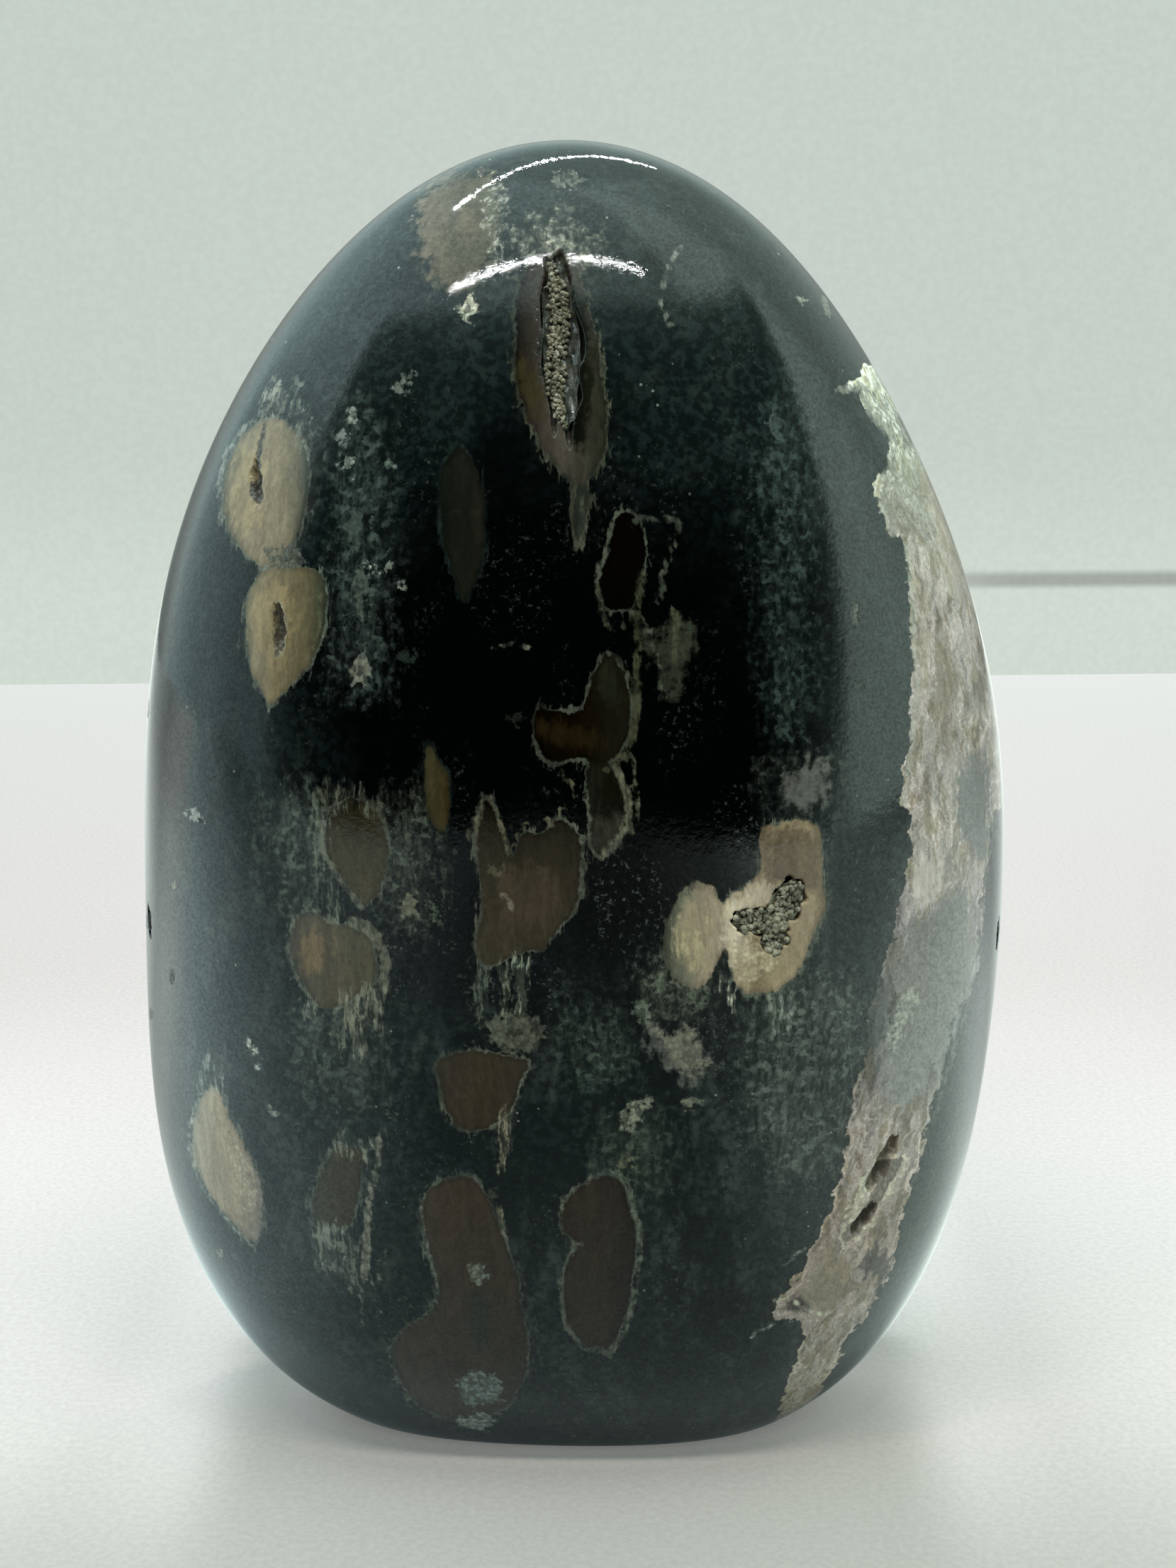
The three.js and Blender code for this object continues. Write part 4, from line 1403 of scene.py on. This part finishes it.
@dataclass
class PolishedStone:
    """The stone's polished skin, with its hollows and its markings."""

    form: PebbleForm
    charts: tuple[Chart, ...]
    finish: JasperFinish = JasperFinish()
    cuts: int = 67
    # The faces are made finer within this share of a hollow's half-size.
    fine_reach: float = 1.35
    hollow_fineness: int = 2
    # Directions with a Y below this are on the side that the photograph shows.
    show_side: float = 0.16
    # A hollow reaches no farther than this from its mouth, in millimetres.
    hollow_reach: float = 4.0
    # How far a mouth's edge wanders, as a share of its half-size.
    mouth_roughness: float = 0.09

    def build(self) -> bpy.types.Object:
        """Builds the stone and its markings.

        Returns:
            The stone's piece.
        """
        bm = self.ball()
        directions = np.array([vertex.co for vertex in bm.verts])
        low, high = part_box("stone")
        self.form.fit_to(low, high, directions)
        self.split(bm, self.face_ways(bm)[:, 1] < self.show_side)
        for _ in range(self.hollow_fineness):
            self.refine_hollows(bm)
        bmesh.ops.triangulate(bm, faces=[face for face in bm.faces if len(face.verts) > 4])
        stone = to_object(bm, "polished_stone", (self.finish.make(),), True)
        self.shape(stone.data)
        return stone

    def ball(self) -> bmesh.types.BMesh:
        """A ball of even square faces, made from a cube."""
        bm = bmesh.new()
        bmesh.ops.create_cube(bm, size=2.0)
        bmesh.ops.subdivide_edges(bm, edges=bm.edges[:], cuts=self.cuts, use_grid_fill=True)
        for vertex in bm.verts:
            even = Vector(math.tan(part * math.pi / 4) for part in vertex.co)
            vertex.co = even.normalized()
        return bm

    def face_ways(self, bm: bmesh.types.BMesh) -> Array:
        """The direction of each face's middle on the ball."""
        centres = np.array([face.calc_center_median() for face in bm.faces])
        return centres / np.linalg.norm(centres, axis=1, keepdims=True)

    def split(self, bm: bmesh.types.BMesh, chosen: Array) -> None:
        """Halves the edges of the chosen faces and puts the new vertices back on the ball."""
        bm.faces.ensure_lookup_table()
        edges = {edge for i in np.flatnonzero(chosen) for edge in bm.faces[int(i)].edges}
        made = bmesh.ops.subdivide_edges(bm, edges=list(edges), cuts=1, use_grid_fill=True)
        for part in made["geom_inner"]:
            if isinstance(part, bmesh.types.BMVert):
                part.co.normalize()

    def refine_hollows(self, bm: bmesh.types.BMesh) -> None:
        """Makes the faces in and round each hollow finer."""
        ways = self.face_ways(bm)
        points = self.form.points(ways)
        chosen = np.zeros(len(points), dtype=bool)
        for name in HollowName:
            chosen |= self.mouth_share(points, name.value)[0] < self.fine_reach
        self.split(bm, chosen & (ways[:, 1] < 0))

    def mouth_share(self, points: Array, hollow: Hollow) -> tuple[Array, Vector]:
        """How far out each point is in a hollow's mouth, 1 at its edge, and the way out of the stone."""
        frame_here = self.form.face_frame(hollow)
        turn = np.array(frame_here.to_3x3())
        local = (points - np.array(frame_here.translation)) @ turn
        across, along = 2 * local[:, 0] / hollow.width, 2 * local[:, 1] / hollow.length
        rough = np.sin(7 * across) + np.sin(9 * along + 2 * across + hollow.x)
        share = np.hypot(across, along) / (1 + self.mouth_roughness * rough)
        share[np.abs(local[:, 2]) > self.hollow_reach] = np.inf
        return share, frame_here.col[2].to_3d()

    def shape(self, mesh: bpy.types.Mesh) -> None:
        """Moves the ball's vertices to the stone, sinks the hollows and lays the markings.

        Args:
            mesh: The ball's mesh, which becomes the stone's.
        """
        count = len(mesh.vertices)
        directions = np.empty(count * 3)
        mesh.vertices.foreach_get("co", directions)
        points = self.form.points(directions.reshape(-1, 3))
        mesh.vertices.foreach_set("co", (points * MM).ravel())
        mesh.update()
        normals = np.empty(count * 3)
        mesh.vertex_normals.foreach_get("vector", normals)
        hollow = np.zeros(count)
        sunk = points.copy()
        for name in HollowName:
            share, out = self.mouth_share(points, name.value)
            deep = np.sqrt(np.clip(1 - np.minimum(share, 1) ** 2, 0, 1))
            deeper = deep > hollow
            hollow = np.maximum(hollow, deep)
            move = points - np.outer(name.value.depth * deep, np.array(out))
            sunk[deeper] = move[deeper]
        mesh.vertices.foreach_set("co", (sunk * MM).ravel())
        mesh.update()
        self.write_numbers(mesh, "hollow", hollow)
        sheets = lay_sheets(self.charts, points, normals.reshape(-1, 3))
        for layer in Layer:
            painter = paint(layer, sheets, count)
            self.write_numbers(mesh, f"{layer.label}_mm", painter.inside)
            self.write_colours(mesh, f"{layer.label}_tint", painter.tint)
            if layer is BODY:
                self.write_colours(mesh, "halo_tint", painter.halo)

    def write_numbers(self, mesh: bpy.types.Mesh, name: str, values: Array) -> None:
        """Stores one number for each vertex."""
        mesh.attributes.new(name, "FLOAT", "POINT").data.foreach_set("value", values)

    def write_colours(self, mesh: bpy.types.Mesh, name: str, values: Array) -> None:
        """Stores one colour and its strength for each vertex."""
        mesh.attributes.new(name, "FLOAT_COLOR", "POINT").data.foreach_set("color", values.ravel())


@dataclass(frozen=True)
class Growth:
    """Where crystals grow in a hollow, as shares of its half-size: how wide, and how far aside they are."""

    hollow: HollowName
    width: float = 0.93
    aside: float = 0.0
    wander: float = 0.0


@dataclass
class CrystalCrust:
    """The crust of fine quartz crystals that lines one or more hollows."""

    form: PebbleForm
    name: str
    node: str
    growths: tuple[Growth, ...]
    finish: QuartzFinish
    bed_finish: QuartzFinish
    # Crystals in a square millimetre of the mouth, and their sizes in millimetres.
    density: float = 14.0
    radius: float = 0.11
    length: float = 0.42
    # The bed that they grow from: how deep it lies in the hollow, and its share of the mouth.
    bed_depth: float = 0.42
    bed_share: float = 0.93
    bed_bumps: float = 0.06
    # A crystal's shaft is this share of its length; its tip is the rest. How far crystals tilt at random and
    # lean in to the middle, both in radians.
    shaft_share: float = 0.62
    tilt: float = 0.45
    lean_in: float = 0.5
    # The smallest and the largest crystal, as shares of the size above.
    spread: tuple[float, float] = (0.6, 1.25)
    seed: int = 4

    def build(self) -> bpy.types.Object:
        """Builds the bed and the crystals on it.

        Returns:
            The crust's piece.
        """
        chance = np.random.default_rng(self.seed)
        bm = bmesh.new()
        for growth in self.growths:
            self.add_bed(bm, growth.hollow.value)
        for face in bm.faces:
            face.material_index = 1
        for growth in self.growths:
            self.add_crystals(bm, growth, chance)
        return to_object(bm, self.name, (self.finish.make(), self.bed_finish.make()))

    def add_bed(self, bm: bmesh.types.BMesh, hollow: Hollow) -> None:
        """Adds the lumpy bed in one hollow, a low dome over a deep bowl."""
        made = bmesh.ops.create_icosphere(bm, subdivisions=4, radius=1.0)
        placed = self.form.face_frame(hollow)
        for vertex in made["verts"]:
            x, y, z = vertex.co
            lump = 1 + 0.05 * math.sin(9 * x + 5 * y) + 0.05 * math.sin(13 * y)
            top = -self.bed_depth * hollow.depth * (1 - 0.5 * (x * x + y * y))
            height = top + z * 0.5 * hollow.depth
            if z > 0:
                height = top + self.bed_bumps * math.sin(11 * x) * math.sin(17 * y)
            wide = self.bed_share * lump / 2
            vertex.co = (placed @ Vector((x * hollow.width * wide, y * hollow.length * wide, height))) * MM

    def add_crystals(self, bm: bmesh.types.BMesh, growth: Growth, chance: np.random.Generator) -> None:
        """Adds the crystals of one hollow, on a jittered sunflower spiral.

        Args:
            bm: The crust's mesh.
            growth: The hollow that they line, and where in it they grow.
            chance: Where the random sizes and tilts come from.
        """
        hollow = growth.hollow.value
        placed = self.form.face_frame(hollow)
        count = round(self.density * math.pi / 4 * hollow.width * hollow.length)
        golden = math.pi * (3 - math.sqrt(5))
        for i in range(count):
            reach = math.sqrt((i + 0.5) / count) * self.bed_share
            turn = i * golden + chance.uniform(-0.3, 0.3)
            along = reach * math.sin(turn)
            across = growth.width * reach * math.cos(turn) + growth.aside
            across += growth.wander * math.sin(4 * along)
            x = hollow.width / 2 * across
            y = hollow.length / 2 * along
            floor = -self.bed_depth * hollow.depth * (1 - 0.5 * min(1.0, across**2 + along**2))
            tilt = Matrix.Rotation(chance.normal(0, self.tilt), 4, "X")
            tilt = tilt @ Matrix.Rotation(chance.normal(0, self.tilt), 4, "Y")
            lean_in = Matrix.Rotation(-self.lean_in * across, 4, "Y")
            spin = Matrix.Rotation(chance.uniform(0, math.tau), 4, "Z")
            size = chance.uniform(*self.spread)
            where = Matrix.Translation((x, y, floor)) @ lean_in @ tilt @ spin
            self.add_crystal(bm, Matrix.Scale(MM, 4) @ placed @ where, self.radius * size, self.length * size)

    def add_crystal(self, bm: bmesh.types.BMesh, where: Matrix, radius: float, length: float) -> None:
        """Adds one six-sided crystal with a pointed end, standing on its own Z."""
        shaft = self.shaft_share
        bmesh.ops.create_cone(
            bm, cap_ends=True, segments=6, radius1=radius * 0.8, radius2=radius, depth=length * shaft,
            matrix=where @ Matrix.Translation((0, 0, length * shaft / 2)),
        )
        bmesh.ops.create_cone(
            bm, cap_ends=True, segments=6, radius1=radius, radius2=radius * 0.08, depth=length * (1 - shaft),
            matrix=where @ Matrix.Translation((0, 0, length * (1 + shaft) / 2)),
        )


# The studio


class GlowFinish:
    """Plain light-giving surfaces, which need no lamp."""

    def __init__(self, name: str) -> None:
        """Starts the finish."""
        self.material = new_material(name)
        self.board = NodeBoard(self.material.node_tree)

    def place(self) -> tuple[Socket, Socket, Socket]:
        """Object coordinates in metres."""
        return self.board.parts(self.board.add("TexCoord").outputs["Object"])

    def finish(self, colour: Feed, strength: Feed = 1.0) -> bpy.types.Material:
        """Gives the surface its colour and light, and returns the material."""
        self.board.end_with("Emission", Color=colour, Strength=strength)
        return self.material


def foot_reach(board: NodeBoard, place: Socket) -> Socket:
    """How far out from the stone's foot a place on the floor is, 1 where the stone's side is over it."""
    scaled = board.stretched(place, (1 / FOOT_HALF[0], 1 / FOOT_HALF[1], 0.0))
    return board.add("VectorMath", {"operation": "LENGTH"}, in_0=scaled).outputs["Value"]


def lamp_glow() -> bpy.types.Material:
    """The light of the small lamps that the polish mirrors."""
    return GlowFinish("lamp_glow").finish((1.0, 1.0, 1.0, 1.0), LAMP_BRIGHTNESS)


def backdrop_glow() -> bpy.types.Material:
    """The pale backdrop, which shows on the right: painted a little lighter below its crease, with painted
    shade in it.
    """
    glow = GlowFinish("soft_backdrop")
    board = glow.board
    across, _, height = glow.place()
    wall, foot, crease = ((*to_linear(colour), 1.0) for colour in ("c6d0c8", "d0dad1", "a3aaa2"))
    colour = board.mix(board.step(0.050, 0.012, height), wall, foot)
    # Painted shade along the backdrop's crease.
    line = board.product(board.step(0.0172, 0.0190, height), board.step(0.0220, 0.0200, height),
                         board.step(0.05, 0.09, across))
    colour = board.mix(line, colour, crease)
    grain = board.noise(board.object_mm(), 1.4, 3.0)
    return glow.finish(board.lit(colour, board.step(0.3, 0.7, grain, 0.975, 1.025)))


def mirrored_floor_glow() -> bpy.types.Material:
    """The floor's painted reflection: brightest beside the stone, painted shadow in front of and under it."""
    glow = GlowFinish("mirrored_floor")
    board = glow.board
    across, deep, _ = glow.place()
    beside = board.math("ABSOLUTE", across)
    light = board.plus(board.step(0.014, 0.040, beside, 0.0, 1.15),
                       board.step(0.038, 0.110, beside, 0.0, 1.35))
    # Painted shadow: near the camera the floor is dull, and the farther to a side, the farther forward it
    # stays bright.
    front = board.plus(board.scaled(beside, 0.3, 0.08), deep)
    nearness = board.math("DIVIDE", front, board.scaled(beside, 0.3, 0.06))
    light = board.product(light, board.step(0.0, 1.0, nearness, 0.20, 1.0),
                          board.step(0.14, 0.34, beside, 1.0, 0.68))
    light = board.plus(light, board.step(-0.070, 0.0, deep, 0.16, 0.6))
    # Painted light: the corners in front are brighter, the right one most.
    sides = board.plus(board.step(0.045, 0.09, across, 0.0, 1.3),
                       board.step(-0.045, -0.09, across, 0.0, 0.3))
    corners = board.scaled(sides, board.step(-0.04, -0.11, deep), 1.08)
    # Dimmer behind the stone and close beside it on the left.
    behind = board.math("DIVIDE", deep, board.scaled(beside, 0.4, 0.03))
    close_left = board.product(board.step(-0.14, -0.08, across), board.step(0.03, -0.03, across),
                               board.step(-0.005, 0.025, deep), 0.27)
    # A painted shadow darkens the glow round the stone's foot, where its sides hang over the floor.
    light = board.product(light, board.step(0.15, 1.1, behind, 1.0, 0.42),
                          board.rest(close_left),
                          board.step(0.9, 1.6, foot_reach(board, board.object_mm()), 0.2, 1.0), corners)
    tint = board.mix(board.step(-0.05, 0.05, across), (0.82, 1.07, 1.08, 1.0), (0.88, 1.08, 0.99, 1.0))
    tint = board.mix(board.step(-0.02, 0.05, deep), tint, (0.94, 1.04, 0.99, 1.0))
    return glow.finish(tint, light)


@dataclass(frozen=True)
class FloorFinish:
    """The pale matt tabletop with a fine tooth, painted lighter far off and beside the stone, dimmer in
    front.
    """

    near: tuple[float, float, float] = (0.332, 0.302, 0.285)
    far: tuple[float, float, float] = (0.354, 0.288, 0.292)
    flank_gain: tuple[float, float, float] = (1.27, 1.25, 1.30)
    # A painted glow for the soft light that creeps in under the stone's edge.
    fill: float = 0.15

    def make(self) -> bpy.types.Material:
        """Builds the material."""
        material = new_material("pale_floor")
        board = NodeBoard(material.node_tree)
        place = board.object_mm()
        across, deep, _ = board.parts(place)
        tooth = board.noise(place, 0.5, 3.0, 0.7)
        # Painted light: the floor gets lighter behind the stone and to its right, and darker in front of it.
        behind = board.math("MAXIMUM", board.math("SUBTRACT", deep, 20.0), 0.0)
        beside = board.math("MAXIMUM", across, 0.0)
        before = board.math("MAXIMUM", board.math("MINIMUM", board.plus(deep, 8.0), 0.0), -20.0)
        farther = board.scaled(behind, 0.0020, 1.0)
        farther = board.scaled(before, 0.006, farther)
        farther = board.scaled(board.math("MINIMUM", beside, 60.0), 0.0008, farther)
        # Painted light: the floor beside the stone is brighter than the lane in front of it, most of all
        # close by.
        aside = board.math("ABSOLUTE", across)
        past = board.scaled(board.math("MAXIMUM", deep, 8.0), 1.2, -9.6)
        flank = board.product(board.step(21.5, 28.0, board.plus(aside, past)),
                              board.step(-34.0, 2.0, deep), board.step(110.0, 30.0, deep))
        glow = board.product(flank, board.step(36.0, 27.0, aside, 0.0, 0.2), board.step(60.0, 30.0, deep))
        light = board.product(board.step(0.3, 0.7, tooth, 0.94, 1.06), farther, board.plus(glow, 1.0))
        bump = board.add("Bump", Strength=0.35, Distance=0.06 * MM, Height=tooth)
        # The colour shifts from near to far, and the painted light beside the stone tints it.
        tint = board.mix(board.step(-20.0, 120.0, deep), (*self.near, 1), (*self.far, 1))
        tint = board.mix(flank, tint, (*self.flank_gain, 1), "MULTIPLY")
        # A painted glow of the floor under the stone's edge.
        under = board.step(1.38, 0.95, foot_reach(board, place), 0.0, self.fill)
        board.end_with("BsdfPrincipled", Base_Color=board.lit(tint, light), Roughness=0.9,
                       Specular_IOR_Level=0.1, Normal=bump.outputs[0], Emission_Color=(1, 1, 0.96, 1),
                       Emission_Strength=under)
        return material


# Which rays see a stage piece.
ALL_RAYS = ("camera", "diffuse", "glossy", "transmission", "shadow")


@dataclass(frozen=True)
class LampStrip:
    """A strip of small lamps over the stone, in metres and watts."""

    name: str
    start: tuple[float, float, float]
    end: tuple[float, float, float]
    power: float


@dataclass
class Studio:
    """A plain floor and backdrop, soft light, and the white walls and dark front that the polish mirrors."""

    # The backdrop is a square room with rounded corners, turned a little.
    room_half: float = 0.335
    room_middle: float = -0.040
    room_height: float = 0.9
    room_turn: float = 3.1
    corner_power: float = 0.2
    floor_half: float = 1.0
    mirrored_front: float = -0.238
    mirrored_back: float = 0.5
    strips: tuple[LampStrip, ...] = (
        LampStrip("front_strip", (-0.095, -0.105, 0.230), (0.058, -0.105, 0.230), 0.46),
        LampStrip("back_strip", (-0.079, 0.016, 0.230), (0.057, 0.125, 0.230), 0.22),
    )
    lamp_count: int = 25
    lamp_radius: float = 0.0013
    lamp_depth: float = 0.02
    lamp_colour: tuple[float, float, float] = (1.0, 0.985, 0.96)
    left_tint: tuple[float, float, float] = (0.80, 1.08, 1.10)
    right_tint: tuple[float, float, float] = (0.86, 1.10, 0.99)
    left_white: float = 2.2
    right_white: float = 1.6
    back_white: float = 0.34
    back_tint: tuple[float, float, float] = (0.94, 1.04, 0.98)
    dark: float = 0.004
    # The opening's left, right and top edges in degrees: how far they lean, and where they are level with the
    # stone. Then how round its corners are.
    left_edge: tuple[float, float] = (0.26, 56.2)
    right_edge: tuple[float, float] = (0.85, 45.0)
    top_edge: tuple[float, float] = (0.03, 46.0)
    corner_blend: float = 9.0

    def build(self) -> None:
        """Builds the whole studio."""
        self.build_world()
        self.build_floor()
        self.build_backdrop()
        glow = lamp_glow()
        for strip in self.strips:
            self.add_dots(strip, glow)
            self.add_lamp(strip)

    def put(self, piece: bpy.types.Object, *rays: str) -> None:
        """Puts a piece on the stage, seen by the named rays alone."""
        for ray in ALL_RAYS:
            setattr(piece, f"visible_{ray}", ray in rays)

    def build_world(self) -> None:
        """White all round, with the dark room in front where the tent is open."""
        world = bpy.data.worlds.new("light_tent")
        bpy.context.scene.world = world
        world.use_nodes = True
        board = NodeBoard(world.node_tree)
        across, deep, up = board.parts(board.add("TexCoord").outputs["Generated"])
        azimuth = board.math("DEGREES", board.math("ARCTAN2", across, board.math("MULTIPLY", deep, -1.0)))
        height = board.math("DEGREES", board.math("ARCSINE", up))
        left = board.plus(board.scaled(height, *self.left_edge), azimuth)
        right = board.math("SUBTRACT", board.scaled(height, *self.right_edge), azimuth)
        top = board.math("SUBTRACT", board.scaled(azimuth, *self.top_edge), height)
        depth = board.math("SMOOTH_MIN", left, right, self.corner_blend)
        depth = board.math("SMOOTH_MIN", depth, top, self.corner_blend)
        opening = board.step(-2.5, 4.0, depth)
        white = board.step(-0.95, 0.95, across, self.left_white, self.right_white)
        # The left wall is duller low down, and the right one has a sheen beside the opening.
        lower_left = board.plus(board.step(-132.0, -118.0, azimuth, 0.0, 0.30),
                                board.step(-85.0, -64.0, azimuth, 0.0, 0.19))
        lower_left = board.product(lower_left, board.step(36.0, 18.0, height),
                                   board.step(0.0, -30.0, azimuth))
        sheen = board.product(board.step(38.0, 50.0, azimuth), board.step(104.0, 72.0, azimuth),
                              board.step(80.0, 55.0, height, 0.3, 1.0))
        white = board.product(white, board.step(50.0, 85.0, height, 0.9, 1.5),
                              board.rest(lower_left), board.plus(1.0, sheen),
                              board.step(-0.2, -0.8, across, 1.0, 1.2),
                              board.step(110.0, 150.0, board.math("ABSOLUTE", azimuth), 1.0, 0.65))
        behind = board.product(deep, board.rest(up))
        back = board.step(0.4, 0.95, behind)
        white = board.plus(board.product(white, board.rest(back)),
                           board.product(back, self.back_white))
        tint = board.mix(board.step(-0.9, 0.9, across), (*self.left_tint, 1.0), (*self.right_tint, 1.0))
        tint = board.mix(board.step(0.3, 0.9, behind), tint, (*self.back_tint, 1.0))
        walls = board.lit(tint, white)
        glow_in = board.math("POWER", board.step(17.0, 1.0, depth), 2.0)
        gloom = board.lit(tint, board.scaled(glow_in, 0.42, self.dark))
        tone = board.mix(opening, walls, gloom)
        glow = board.add("Background", Color=tone, Strength=1.0)
        board.add("OutputWorld", Surface=glow.outputs[0])

    def build_floor(self) -> None:
        """The tabletop, and the brighter one in its place that the polish alone sees."""
        half = self.floor_half
        floor = self.flat("floor", FloorFinish().make(), (-half, half), (-half, half), 0.0)
        self.put(floor, "camera", "diffuse", "transmission", "shadow")
        mirrored = self.flat("mirrored_floor", mirrored_floor_glow(), (-half, half),
                             (self.mirrored_front, self.mirrored_back), -0.0001)
        self.put(mirrored, "glossy")

    def flat(self, name: str, finish: bpy.types.Material, across: Point, deep: Point,
             height: float) -> bpy.types.Object:
        """A flat rectangle at a height."""
        bm = bmesh.new()
        bmesh.ops.create_grid(bm, x_segments=1, y_segments=1, size=1.0)
        for vertex in bm.verts:
            x = across[1] if vertex.co.x > 0 else across[0]
            y = deep[1] if vertex.co.y > 0 else deep[0]
            vertex.co = (x, y, height)
        return to_object(bm, name, (finish,))

    def build_backdrop(self) -> None:
        """The room's walls, seen by the camera alone."""
        bm = bmesh.new()
        steps = 160
        ring = []
        for i in range(steps):
            angle = math.tau * i / steps
            across, deep = math.cos(angle), math.sin(angle)
            x = self.room_half * math.copysign(abs(across) ** self.corner_power, across)
            y = self.room_half * math.copysign(abs(deep) ** self.corner_power, deep)
            ring.append(bm.verts.new((x, y, 0.0)))
        edges = [bm.edges.new((ring[i], ring[(i + 1) % steps])) for i in range(steps)]
        grown = bmesh.ops.extrude_edge_only(bm, edges=edges)
        tops = [part for part in grown["geom"] if isinstance(part, bmesh.types.BMVert)]
        bmesh.ops.translate(bm, verts=tops, vec=(0, 0, self.room_height))
        turn = Matrix.Rotation(math.radians(self.room_turn), 4, "Z")
        bmesh.ops.transform(bm, verts=bm.verts, matrix=Matrix.Translation((0, self.room_middle, 0)) @ turn)
        self.put(to_object(bm, "backdrop", (backdrop_glow(),)), "camera")

    def add_dots(self, strip: LampStrip, glow: bpy.types.Material) -> None:
        """Adds a strip's small lamps, as the polish alone sees them."""
        start, end = Vector(strip.start), Vector(strip.end)
        bm = bmesh.new()
        for i in range(self.lamp_count):
            place = start.lerp(end, i / (self.lamp_count - 1))
            bmesh.ops.create_circle(
                bm, cap_ends=True, segments=10, radius=self.lamp_radius, matrix=Matrix.Translation(place),
            )
        self.put(to_object(bm, f"{strip.name}_dots", (glow,)), "glossy")

    def add_lamp(self, strip: LampStrip) -> None:
        """Adds a strip's soft light, which the polish doesn't mirror."""
        start, end = Vector(strip.start), Vector(strip.end)
        lamp = bpy.data.lights.new(strip.name, "AREA")
        lamp.shape = "RECTANGLE"
        lamp.size = (end - start).length
        lamp.size_y = self.lamp_depth
        lamp.energy = strip.power
        lamp.color = self.lamp_colour
        made = bpy.data.objects.new(strip.name, lamp)
        made.location = (start + end) / 2
        made.rotation_euler = (0, 0, math.atan2(end.y - start.y, end.x - start.x))
        made.visible_glossy = False
        made.visible_camera = False
        bpy.context.scene.collection.objects.link(made)


@dataclass
class PhotoCamera:
    """The photograph's camera, in the stone's frame."""

    place_mm: tuple[float, float, float] = (1.06, -155.1, 82.3)
    pitch: float = 13.0
    lens_mm: float = 52.0
    sensor_mm: float = 36.0
    frame_px: tuple[int, int] = (1659, 2212)

    def build(self) -> None:
        """Makes the scene's camera."""
        camera = bpy.data.cameras.new("photo_camera")
        camera.lens = self.lens_mm
        camera.sensor_width = self.sensor_mm
        camera.clip_start = 0.005
        camera.clip_end = 10.0
        made = bpy.data.objects.new("photo_camera", camera)
        made.location = Vector(self.place_mm) * MM
        made.rotation_euler = (math.radians(90 - self.pitch), 0, 0)
        bpy.context.scene.collection.objects.link(made)
        bpy.context.scene.camera = made

    def chart(self, marks: tuple[Mark, ...]) -> PhotoChart:
        """The chart that lays marks where this camera sees them."""
        focal = self.lens_mm / self.sensor_mm * self.frame_px[1]
        centre = (self.frame_px[0] / 2, self.frame_px[1] / 2)
        return PhotoChart(self.place_mm, self.pitch, focal, centre, marks)


def report(piece: bpy.types.Object, body: str, node: str) -> None:
    """Puts a piece in place of its node and logs it.

    Args:
        piece: The finished piece.
        body: The body that it rides on.
        node: The node that it stands for.
    """
    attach(piece, body)
    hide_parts(node)
    log.info("%s: %d faces, replaces %s", piece.name, len(piece.data.polygons), node)


def main() -> None:
    """Builds the stone, its crusts and the studio."""
    logging.basicConfig(level=logging.INFO, format="%(name)s: %(message)s")
    bpy.context.scene.view_settings.view_transform = "Standard"
    camera = PhotoCamera()
    camera.build()
    Studio().build()
    form = PebbleForm()
    charts = (
        camera.chart(PHOTO_MARKS),
        FlankChart(180.0, 55.0, BACK_MARKS),
        FlankChart(-90.0, 50.0, LEFT_FLANK_MARKS),
        FlankChart(100.0, 60.0, RIGHT_FLANK_MARKS),
    )
    stone = PolishedStone(form, charts)
    report(stone.build(), "root", "stone")
    crusts = (
        CrystalCrust(
            form, "crown_druse", "druse_crust", (Growth(HollowName.DRUSE, 0.52, -0.2, 0.24),),
            QuartzFinish("grey_quartz", "7b7563", "4d4937", 0.4),
            QuartzFinish("dark_bed", "34342c", "1a1b16"),
            density=18.0, radius=0.13,
        ),
        CrystalCrust(
            form, "vug_druse", "vug_crust",
            (Growth(HollowName.VUG_UPPER), Growth(HollowName.VUG_LEFT), Growth(HollowName.VUG_LOWER)),
            QuartzFinish("tan_quartz", "88826f", "454233", 0.4),
            QuartzFinish("brown_bed", "77725f", "524f40"),
            density=12.0, radius=0.2, length=0.3, bed_depth=0.24, seed=9,
        ),
    )
    for crust in crusts:
        report(crust.build(), "root", crust.node)


if __name__ == "__main__":
    main()
